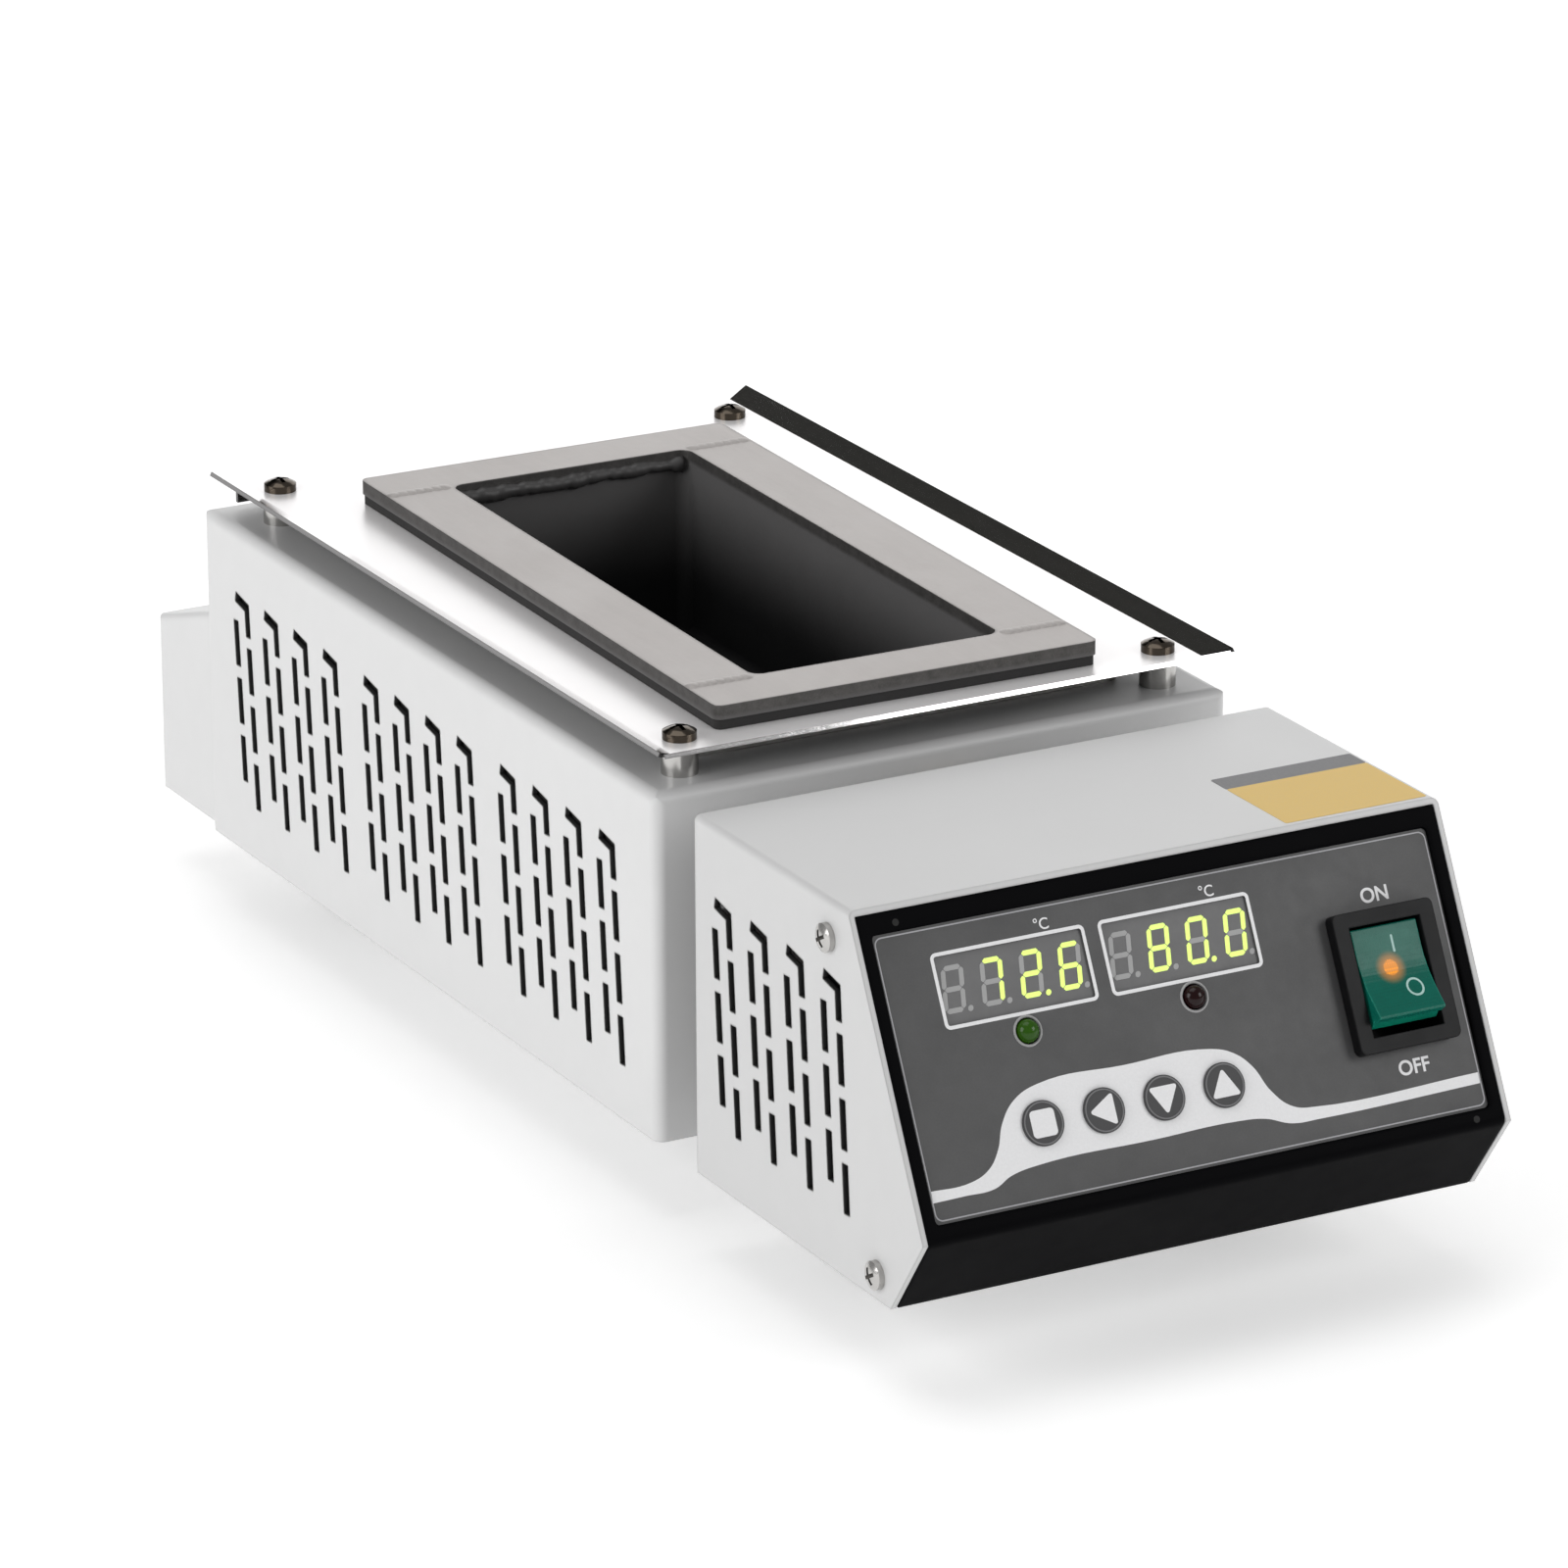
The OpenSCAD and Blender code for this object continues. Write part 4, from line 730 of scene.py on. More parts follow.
@dataclass(frozen=True)
class LitRocker(Finish):
    """Clear green moulding with a fine dot texture, with painted light on its thin lower end, and a lamp shining
    through one spot.
    """

    # Brighter colour painted on the thin lower end, as light coming through the clear plastic.
    painted_skirt_light: Colour = (0.010, 0.34, 0.20)
    edge: Colour = (0.03, 0.42, 0.30)
    lamp: Colour = (1.0, 0.30, 0.008)
    idle: Colour = (0.0, 0.006, 0.004)
    amber: Colour = (0.02, 0.01, 0.0)
    spot: tuple[float, float, float] = (0.0, 0.0, 0.0)
    core: float = 0.0015
    blur: float = 0.0007
    halo: float = 0.004
    pitch: float = 0.00056
    low: float = 0.05
    high: float = 0.06

    def build(self) -> bpy.types.Material:
        """Makes the material.

        Returns:
            The new material.
        """
        net = Net(self.title, Coat_Weight=0.12, Coat_Roughness=0.14, Emission_Strength=1.7, Specular_IOR_Level=0.16)
        place = net.coords()
        cloud, _ = net.grain(place, 150.0)
        dots = net.effect("dots", place, Scale=1.0 / self.pitch, Size=0.45)["Mask"]
        edge = net.edges(place, 0.0006, 2.5, 500.0)
        # Painted light: the thin lower end of the clear moulding is coloured brighter, as where light passes through
        # it.
        body = net.mix(net.fall(place, self.low, self.high), self.colour, self.painted_skirt_light)
        for mask, share, colour in ((cloud, 0.45, self.shade(0.55)), (dots, 0.3, self.shade(0.4)),
                                    (edge, 0.6, self.edge)):
            body = net.mix(net.spread(mask, 0.0, share), body, colour)
        away = put(net.tree, "VectorMath", operation="DISTANCE")
        net.tree.links.new(place, away.inputs[0])
        away.inputs[1].default_value = self.spot
        far = away.outputs["Value"]
        bright = net.spread(far, 1.0, 0.0, self.core, self.core + self.blur, smooth=True)
        centre = maths(net.tree, "MULTIPLY", bright, net.spread(dots, 0.45, 1.0))
        ring = net.spread(far, 0.22, 0.0, self.core, self.halo, smooth=True)
        glow = maths(net.tree, "MAXIMUM", centre, ring)
        net.feed("Base Color", net.mix(glow, body, self.amber))
        net.feed("Emission Color", net.mix(glow, self.idle, self.lamp))
        net.feed("Roughness", net.spread(cloud, 0.2, 0.34))
        net.bump(dots, 0.35, 0.00004, soft=0.0004)
        return net.material


FINISHES: dict[str, Finish] = {finish.name: finish for finish in (
    PowderCoat("housing_paint", (0.665, 0.665, 0.665), slots=((-0.063, 0.146), (0.02, 0.086))),
    PowderCoat("control_paint", (0.585, 0.585, 0.585), slots=((-0.16, -0.0955), (0.03, 0.086))),
    Metal("base_steel", (0.56, 0.56, 0.56), 0.4, Axis.Y),
    MirrorSteel("tray_steel", (0.90, 0.885, 0.885)),
    HeatStainedWithPaintedShade("pot_steel", (0.45, 0.425, 0.412)),
    Mineral("gasket", (0.022, 0.021, 0.021), 0.75, 500.0, contrast=0.3),
    Metal("liner_steel", (0.45, 0.44, 0.42), 0.35, Axis.X),
    Mineral("rest_ceramic", (0.42, 0.38, 0.33), 0.85),
    Metal("heater_steel", (0.24, 0.22, 0.21), 0.5, Axis.Y),
    Mineral("porcelain", (0.80, 0.77, 0.70), 0.35, 200.0, 0.00005, 0.05, 0.6),
    # The wool is coloured near black as painted shade, for the dark seen through the vent slots.
    Mineral("wool", (0.022, 0.021, 0.020), 0.9, 650.0, 0.0006, 0.3),
    Metal("probe_steel", (0.60, 0.60, 0.58), 0.28, Axis.Y),
    Metal("brass", (0.72, 0.52, 0.22), 0.25),
    Metal("bright_fasteners", (0.52, 0.51, 0.495), 0.22),
    Moulded("black_rubber", (0.022, 0.022, 0.022), 0.62, 900.0, 0.00008, 1.5),
    Moulded("panel_black", (0.0025, 0.0025, 0.003), 0.45, 1300.0, 0.00004, 2.5, 0.0012, 0.02),
    Film("overlay_grey", (0.066, 0.066, 0.067)),
    Lens("display_face", (0.15, 0.15, 0.152), tip=(0.145, 0.145, 0.147), roughness=0.4, coat=0.05),
    Lens("lamp_green", (0.026, 0.1, 0.002), tip=(0.016, 0.062, 0.001), low=0.06, high=0.085, glow=0.07, coat=0.05,
         roughness=0.15),
    Lens("lamp_red", (0.012, 0.0006, 0.001), tip=(0.006, 0.0003, 0.0006), coat=0.05, roughness=0.15),
    Moulded("key_black", (0.05, 0.05, 0.052), 0.45, 1800.0, 0.00003, 1.3),
    Moulded("switch_black", (0.005, 0.005, 0.0055), 0.35, 900.0, 0.00002, 2.5, 0.0004, 0.14),
    LitRocker("rocker_green", (0.004, 0.115, 0.083), low=0.056, high=0.0625),
    Moulded("board_green", (0.015, 0.12, 0.04), 0.35, 700.0, 0.00005, 1.2),
    Moulded("part_black", (0.02, 0.02, 0.02), 0.5),
    Metal("heatsink_aluminium", (0.62, 0.62, 0.64), 0.35, Axis.Y),
    Mineral("winding", (0.34, 0.16, 0.06), 0.4, 500.0, 0.0001, 0.2, 0.5),
    Glass("fuse_glass", (0.9, 0.92, 0.9)),
)}
# The plate's screws share their slot with other fasteners; their dark brown colour is partly heat browning and partly a
# painted dark reflection.
FINISHES["plate_screws"] = Metal("browned_screw_painted_reflection", (0.085, 0.07, 0.055), 0.14)

WELD_STEEL = HeatStainedWithPaintedShade("weld_steel", (0.14, 0.135, 0.13), top=0.2, painted_brow_light=(0.1, 0.1, 0.1),
                         inside=(0.06, 0.058, 0.058))
PRINT_WHITE = Ink("print_white", (0.84, 0.84, 0.85))
# A pale grey line painted as the highlight along the film's cut edge.
FILM_EDGE_HIGHLIGHT = Ink("film_edge_highlight", (0.42, 0.42, 0.44))
# A grey painted as the highlight on each key's embossed edge.
KEY_RING_HIGHLIGHT = Ink("key_ring_highlight", (0.16, 0.16, 0.165))
SEGMENT_LIT = Ink("segment_lit", (0.62, 0.78, 0.17), glow=0.6, roughness=0.4)
SEGMENT_DARK = Ink("segment_dark", (0.37, 0.37, 0.37))
LABEL_YELLOW = Ink("label_yellow", (0.66, 0.42, 0.05), roughness=0.4)
LABEL_DARK = Ink("label_dark", (0.085, 0.085, 0.09), roughness=0.4)
MARK_PALE = Ink("mark_pale", (0.40, 0.60, 0.56), glow=0.04)
DIMPLE = Ink("dimple", (0.003, 0.003, 0.003), roughness=0.7)
LAMP_RIM = Moulded("lamp_rim", (0.33, 0.33, 0.33), 0.3)


# ---------------------------------------------------------------- building helpers


@dataclass(frozen=True)
class Slope:
    """The sloped panel's own frame: u across, v up the slope from the nose, w outwards, in millimetres."""

    origin: Vector
    up: Vector
    out: Vector

    @classmethod
    def from_frame(cls, film_low: float, film_top: float, film_t: float) -> "Slope":
        """Finds the panel's frame from a key's joint and the printed film's box.

        Args:
            film_low: Height up the slope of the film's lower edge.
            film_top: Place of the film's outer face, along w.
            film_t: Thickness of the film.

        Returns:
            The slope with its origin on the nose.
        """
        inward = next(Vector(j["axis"]) for j in frame["record"]["behaviour"]["joints"] if j["name"] == "key_set_press")
        out = -inward.normalized()
        up = out.cross(Vector((1.0, 0.0, 0.0))) * -1.0
        up = up if up.z > 0 else -up
        low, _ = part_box("panel_overlay")
        corner = Vector((0.0, low[1], low[2] + film_t * MM * out.z))
        return cls(corner - up * film_low * MM - out * film_top * MM, up, out)

    @property
    def matrix(self) -> Matrix:
        """Takes a place on the slope, in millimetres, to metres in the row frame."""
        turn = Matrix((Vector((1.0, 0.0, 0.0)), self.up, self.out)).transposed().to_4x4()
        return Matrix.Translation(self.origin) @ turn @ Matrix.Scale(MM, 4)

    def span(self, node: str) -> tuple[Vector, Vector]:
        """Extent of a CAD node in u, v and w.

        Args:
            node: Name of the node.

        Returns:
            Its lowest and highest values, in millimetres.
        """
        mesh = frame["nodes"][node]
        back = self.matrix.inverted()
        places = [back @ (mesh.matrix_world @ vertex.co) for vertex in mesh.data.vertices]
        low, high = (Vector([end(p[i] for p in places) for i in range(3)]) for end in (min, max))
        return low, high

    def middle(self, node: str) -> Point:
        """Middle of a CAD node in u and v."""
        low, high = self.span(node)
        return (low.x + high.x) / 2, (low.y + high.y) / 2


class Surface:
    """The outer face of a CAD node, for laying thin pieces on it."""

    above: float = 60.0

    def __init__(self, node: str, to_local: Matrix) -> None:
        """Reads the node's mesh.

        Args:
            node: Name of the CAD node.
            to_local: Matrix from the row frame to the drawing's own millimetres.
        """
        source = frame["nodes"][node]
        shape = bmesh.new()
        shape.from_mesh(source.data)
        shape.transform(to_local @ source.matrix_world)
        self.tree = BVHTree.FromBMesh(shape)
        shape.free()

    def height(self, x: float, y: float, fallback: float) -> float:
        """Height of the face above a point of the drawing, or the fallback where it is missed."""
        hit = self.tree.ray_cast(Vector((x, y, self.above)), Vector((0.0, 0.0, -1.0)))
        return hit[0].z if hit[0] is not None else fallback


def at_point(place: Point) -> Matrix:
    """Matrix that moves a flat shape to a point of its drawing."""
    return Matrix.Translation((*place, 0.0))


def faces_of(verts: list[Vert]) -> list[Face]:
    """Every face that touches some points."""
    return list({f for v in verts for f in v.link_faces})


def round_corners(shape: Shape, corners: list[Vert], radius: float, steps: int) -> list[Vert]:
    """Rounds the corners of a flat face.

    Args:
        shape: Mesh that holds it.
        corners: The corners.
        radius: How far the rounding reaches along each side.
        steps: Steps of each corner; with one it is cut off straight.

    Returns:
        The new corners.
    """
    cut = bmesh.ops.bevel(shape, geom=corners, offset=radius, offset_type="OFFSET", segments=steps, profile=0.5,
                          affect="VERTICES", material=-1)
    return cut["verts"]


def rectangle(shape: Shape, width: float, height: float, place: Matrix = Matrix()) -> list[Vert]:
    """Adds a flat rectangle.

    Args:
        shape: Mesh that gets it.
        width: Size along x.
        height: Size along y.
        place: Where it lies.

    Returns:
        Its corners.
    """
    whole = place @ Matrix.Diagonal((width, height, 1.0, 1.0))
    return bmesh.ops.create_grid(shape, x_segments=1, y_segments=1, size=0.5, matrix=whole)["verts"]


def rounded_plate(shape: Shape, width: float, height: float, radius: float, at: Point = (0.0, 0.0)) -> list[Face]:
    """Adds a flat rectangle with rounded corners.

    Args:
        shape: Mesh that gets it.
        width: Size along x.
        height: Size along y.
        radius: Radius of the corners.
        at: Place of its middle.

    Returns:
        Its faces.
    """
    return faces_of(round_corners(shape, rectangle(shape, width, height, at_point(at)), radius, 6))


def disc(shape: Shape, radius: float, steps: int, place: Matrix) -> list[Vert]:
    """Adds a flat disc.

    Args:
        shape: Mesh that gets it.
        radius: Its radius.
        steps: Number of points round it.
        place: Where it lies.

    Returns:
        The points round it.
    """
    return bmesh.ops.create_circle(shape, cap_ends=True, radius=radius, segments=steps, matrix=place)["verts"]


def hollow(shape: Shape, faces: list[Face], line: float) -> None:
    """Turns flat faces into an outline.

    Args:
        shape: Mesh that holds the faces.
        faces: Faces to hollow out.
        line: Width of the line that stays.
    """
    bmesh.ops.inset_region(shape, faces=faces, thickness=line, use_even_offset=True, use_boundary=True)
    bmesh.ops.delete(shape, geom=faces, context="FACES")


def thicken(shape: Shape, depth: float) -> None:
    """Gives flat faces a thickness upwards.

    Args:
        shape: Mesh with flat faces.
        depth: The thickness.
    """
    bmesh.ops.recalc_face_normals(shape, faces=shape.faces)
    for face in shape.faces:
        if face.normal.z > 0:
            face.normal_flip()
    raised = bmesh.ops.extrude_face_region(shape, geom=list(shape.faces), use_keep_orig=True)
    bmesh.ops.translate(shape, verts=[g for g in raised["geom"] if isinstance(g, Vert)], vec=(0.0, 0.0, depth))
    bmesh.ops.recalc_face_normals(shape, faces=shape.faces)


def add_object(name: str, data: bpy.types.ID) -> bpy.types.Object:
    """Puts an object in the scene, at the origin.

    Args:
        name: Name of the object.
        data: Its mesh, curve, light or camera.

    Returns:
        The new object.
    """
    made = bpy.data.objects.new(name, data)
    bpy.context.scene.collection.objects.link(made)
    return made


def add_mesh(name: str, shape: Shape, material: bpy.types.Material) -> bpy.types.Object:
    """Turns a finished shape into an object with a material.

    Args:
        name: Name of the object.
        shape: Its mesh, in place, in metres, which is used up.
        material: Its material.

    Returns:
        The new object.
    """
    mesh = bpy.data.meshes.new(name)
    shape.to_mesh(mesh)
    shape.free()
    mesh.materials.append(material)
    return add_object(name, mesh)


def finish_piece(name: str, shape: Shape, finish: Finish, body: str,
                 smooth: bool = False) -> bpy.types.Object:
    """Turns a mesh into a dressed piece that rides on a body.

    Args:
        name: Name of the piece.
        shape: Its mesh, in place, in metres.
        finish: Its finish.
        body: Body that it rides on.
        smooth: Shades it smooth.

    Returns:
        The new object.
    """
    for face in shape.faces:
        face.smooth = smooth
    piece = add_mesh(name, shape, finish.get())
    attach(piece, body)
    LOG.info("%s: %d faces on %s", name, len(piece.data.polygons), body)
    return piece


@dataclass
class Drawing:
    """Thin flat shapes drawn in the panel's millimetres and laid on the outer face of a CAD node."""

    slope: Slope
    carrier: str
    depth: float = 0.06
    sink: float = 0.02
    shape: Shape = field(default_factory=bmesh.new)

    def lay(self, name: str, finish: Finish, slot: str, body: str = Body.FURNACE.value,
            fineness: float = 0.0) -> bpy.types.Object:
        """Finishes the drawing as one piece on its carrier.

        Args:
            name: Name of the piece.
            finish: Its finish.
            slot: The record's material slot nearest to it; not used.
            body: Body that it rides on.
            fineness: Longest edge on a curved carrier, or 0 where the carrier is flat.

        Returns:
            The new piece.
        """
        if fineness:
            bmesh.ops.triangulate(self.shape, faces=self.shape.faces)
            for _ in range(3):
                long = [e for e in self.shape.edges if e.calc_length() > fineness]
                if long:
                    bmesh.ops.subdivide_edges(self.shape, edges=long, cuts=1)
                    bmesh.ops.triangulate(self.shape, faces=self.shape.faces)
        thicken(self.shape, self.depth)
        surface = Surface(self.carrier, self.slope.matrix.inverted())
        _, high = self.slope.span(self.carrier)
        for vertex in self.shape.verts:
            vertex.co.z += surface.height(vertex.co.x, vertex.co.y, high.z) - self.sink
        self.shape.transform(self.slope.matrix)
        bmesh.ops.recalc_face_normals(self.shape, faces=self.shape.faces)
        return finish_piece(name, self.shape, finish, body)

    def fill(self, curve: bpy.types.Curve, at: Point | None = None) -> None:
        """Adds a filled flat curve as a mesh.

        Args:
            curve: The curve, which is used up.
            at: Place of its middle, or None to leave it where it is.
        """
        holder = add_object(curve.name, curve)
        bpy.context.view_layer.update()
        mesh = bpy.data.meshes.new_from_object(holder)
        if at:
            places = [v.co for v in mesh.vertices]
            middle = [(min(p[i] for p in places) + max(p[i] for p in places)) / 2 for i in (0, 1)]
            mesh.transform(at_point((at[0] - middle[0], at[1] - middle[1])))
        self.shape.from_mesh(mesh)
        bmesh.ops.remove_doubles(self.shape, verts=self.shape.verts, dist=0.0001)
        bpy.data.objects.remove(holder)
        bpy.data.curves.remove(curve)
        bpy.data.meshes.remove(mesh)

    def write(self, words: str, size: float, at: Point, weight: float = 0.0) -> None:
        """Adds plain lettering.

        Args:
            words: The letters.
            size: Height of a capital in millimetres.
            at: Middle of the words.
            weight: How much the strokes are thickened.
        """
        curve = bpy.data.curves.new("letters", "FONT")
        curve.body = words
        curve.size = size / 0.72
        curve.align_x, curve.align_y = "CENTER", "CENTER"
        curve.offset = weight
        self.fill(curve, at)


# ---------------------------------------------------------------- sub-assemblies


@dataclass
class Dresser:
    """Gives every CAD node the finish that its material slot names."""

    finishes: dict[str, Finish]

    def dress(self) -> None:
        """Assigns a material to each node."""
        for part in frame["record"]["subparts"]:
            node = frame["nodes"][part["node"]]
            finish = self.finishes.get(part["node"]) or self.finishes[part["material_slot"]]
            material = finish.get()
            if node.material_slots:
                for holder in node.material_slots:
                    holder.material = material
            else:
                node.data.materials.append(material)
            LOG.info("%s: %s", part["node"], material.name)


@dataclass
class WeldedPot:
    """The rough inner welds under the rim, along the trough's back and front walls, in millimetres and degrees."""

    cavity_w: float = 60.0
    cavity_l: float = 150.0
    turn: float = -1.1
    rim_t: float = 3.2
    end_gap: float = 3.0
    wall_bite: float = 0.3
    rim_gap: float = 0.4
    bead_r: float = 1.5
    steps: int = 90
    ripple: float = 0.06
    ripple_pitch: float = 2.6
    noise_scale: float = 420.0
    lumps: tuple[Range, Range] = ((0.35, 0.6), (0.9, 0.3))

    def build(self) -> None:
        """Builds both beads."""
        low, high = (Vector(c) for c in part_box("pot"))
        middle = (low + high) / 2
        pot = Matrix.Translation((middle.x, middle.y, 0.0)) @ Matrix.Rotation(math.radians(self.turn), 4, "Z")
        half = self.cavity_l / 2 * MM
        for side, name in ((1, "weld_back"), (-1, "weld_front")):
            shape = self.bead(side * (half - self.wall_bite * MM), high.z - (self.rim_t + self.rim_gap) * MM)
            shape.transform(pot)
            finish_piece(name, shape, WELD_STEEL, Body.FURNACE.value, smooth=True)

    def bead(self, y: float, z: float) -> Shape:
        """Makes one wavy bead along x.

        Args:
            y: Place of the wall.
            z: Height of the bead.

        Returns:
            The bead, closed at both ends.
        """
        shape = bmesh.new()
        length = (self.cavity_w - self.end_gap) * MM
        disc(shape, self.bead_r * MM, 10,
             Matrix.Translation((-length / 2, y, z)) @ Matrix.Rotation(math.pi / 2, 4, "Y"))
        front = list(shape.faces)
        for _ in range(self.steps):
            moved = bmesh.ops.extrude_face_region(shape, geom=front)["geom"]
            bmesh.ops.delete(shape, geom=[f for f in front if f.is_valid], context="FACES_ONLY")
            front = [g for g in moved if isinstance(g, Face)]
            bmesh.ops.translate(shape, verts=[g for g in moved if isinstance(g, Vert)],
                                vec=(length / self.steps, 0.0, 0.0))
        bmesh.ops.holes_fill(shape, edges=shape.edges, sides=20)
        for vertex in shape.verts:
            axis = Vector((vertex.co.x, y, z))
            seed = vertex.co * self.noise_scale
            ripple = 1.0 + self.ripple * math.sin(vertex.co.x / (self.ripple_pitch * MM) * 2 * math.pi)
            push = sum(noise.noise(seed * scale) * share for scale, share in self.lumps)
            vertex.co = axis + (vertex.co - axis) * (ripple + push)
        bmesh.ops.recalc_face_normals(shape, faces=shape.faces)
        return shape


@dataclass
class PanelPrint:
    """What is printed on the film: display frames, the white band and the plain words; and the edge line, a painted
    highlight along the film's cut edge.

    Margins say how much wider and higher an outline is than what it goes round.
    """

    slope: Slope
    edge_margin: tuple[float, float] = (-0.7, -1.1)
    edge_r: float = 1.7
    edge_line_w: float = 0.28
    frame_margin: tuple[float, float] = (0.9, 1.0)
    frame_r: float = 1.3
    frame_line_w: float = 0.75
    band_inset: float = 0.45
    dimple_r: float = 0.75

    # Knots of the band's upper edge from left to right and of its lower edge from right to left, without its ends.
    UPPER = ((-56.0, 10.7), (-51.3, 12.5), (-48.4, 15.8), (-46.0, 21.1), (-42.4, 25.1), (-36.5, 27.4), (-16.0, 27.6),
             (4.5, 27.2), (9.6, 25.4), (13.2, 22.0), (16.2, 16.3), (20.2, 12.4), (26.0, 11.2))
    LOWER = ((26.0, 8.6), (19.3, 8.9), (13.6, 10.9), (7.1, 11.6), (-12.3, 11.5), (-40.5, 11.3), (-46.7, 10.3),
             (-50.8, 8.5), (-58.0, 8.3))
    DIMPLES = ((-60.0, 65.0), (62.0, 1.7))
    WORDS = (("ON", 3.1, (50.4, 51.7), 0.09), ("OFF", 3.1, (50.6, 15.2), 0.09),
             ("°C", 2.4, (-27.4, 59.1), 0.02), ("°C", 2.4, (11.7, 59.1), 0.02))

    def build(self) -> None:
        """Builds every printed piece and the painted edge highlight."""
        self.edge_line()
        self.display_frames()
        self.band()
        self.dimples()
        self.words()

    def outline(self, art: Drawing, node: str, margin: tuple[float, float], radius: float, line: float) -> None:
        """Draws a rounded outline round a node.

        Args:
            art: Drawing that gets it.
            node: Name of the CAD node.
            margin: How much wider and higher than the node it is.
            radius: Radius of its corners.
            line: Width of its line.
        """
        low, high = self.slope.span(node)
        faces = rounded_plate(art.shape, high.x - low.x + margin[0], high.y - low.y + margin[1], radius,
                              at=self.slope.middle(node))
        hollow(art.shape, faces, line)

    def edge_line(self) -> None:
        """A thin pale line just inside the film's edge, painted as the highlight along its cut edge."""
        art = Drawing(self.slope, "panel_overlay")
        self.outline(art, "panel_overlay", self.edge_margin, self.edge_r, self.edge_line_w)
        art.lay("film_edge_line", FILM_EDGE_HIGHLIGHT, "overlay_grey")

    def display_frames(self) -> None:
        """The white rounded frames round both displays."""
        art = Drawing(self.slope, "panel_overlay")
        for node in ("display_left", "display_right"):
            self.outline(art, node, self.frame_margin, self.frame_r, self.frame_line_w)
        art.lay("display_frames", PRINT_WHITE, "overlay_grey")

    def band(self) -> None:
        """The white band that rises in an S-curve round the keys."""
        low, high = self.slope.span("panel_overlay")
        left, right = low.x + self.band_inset, high.x - self.band_inset
        upper = [(left, 10.6), *self.UPPER, (right, 11.2)]
        lower = [(right, 8.9), *self.LOWER, (left, 8.2)]
        corners = {0, len(upper) - 1, len(upper), len(upper) + len(lower) - 1}
        curve = bpy.data.curves.new("band", "CURVE")
        curve.dimensions, curve.fill_mode, curve.resolution_u = "2D", "BOTH", 8
        line = curve.splines.new("BEZIER")
        line.bezier_points.add(len(upper) + len(lower) - 1)
        line.use_cyclic_u = True
        for i, (knot, place) in enumerate(zip(line.bezier_points, upper + lower)):
            knot.co = (*place, 0.0)
            knot.handle_left_type = knot.handle_right_type = "VECTOR" if i in corners else "AUTO"
        art = Drawing(self.slope, "panel_overlay")
        art.fill(curve)
        art.lay("white_band", PRINT_WHITE, "overlay_grey")

    def dimples(self) -> None:
        """Two small moulding marks on the black border."""
        art = Drawing(self.slope, "front_panel", depth=0.04)
        for place in self.DIMPLES:
            disc(art.shape, self.dimple_r, 20, at_point(place))
        art.lay("panel_dimples", DIMPLE, "panel_black")

    def words(self) -> None:
        """ON and OFF beside the switch, and the degree signs over the displays."""
        art = Drawing(self.slope, "panel_overlay")
        for words, size, place, weight in self.WORDS:
            art.write(words, size, place, weight)
        art.lay("panel_words", PRINT_WHITE, "overlay_grey")


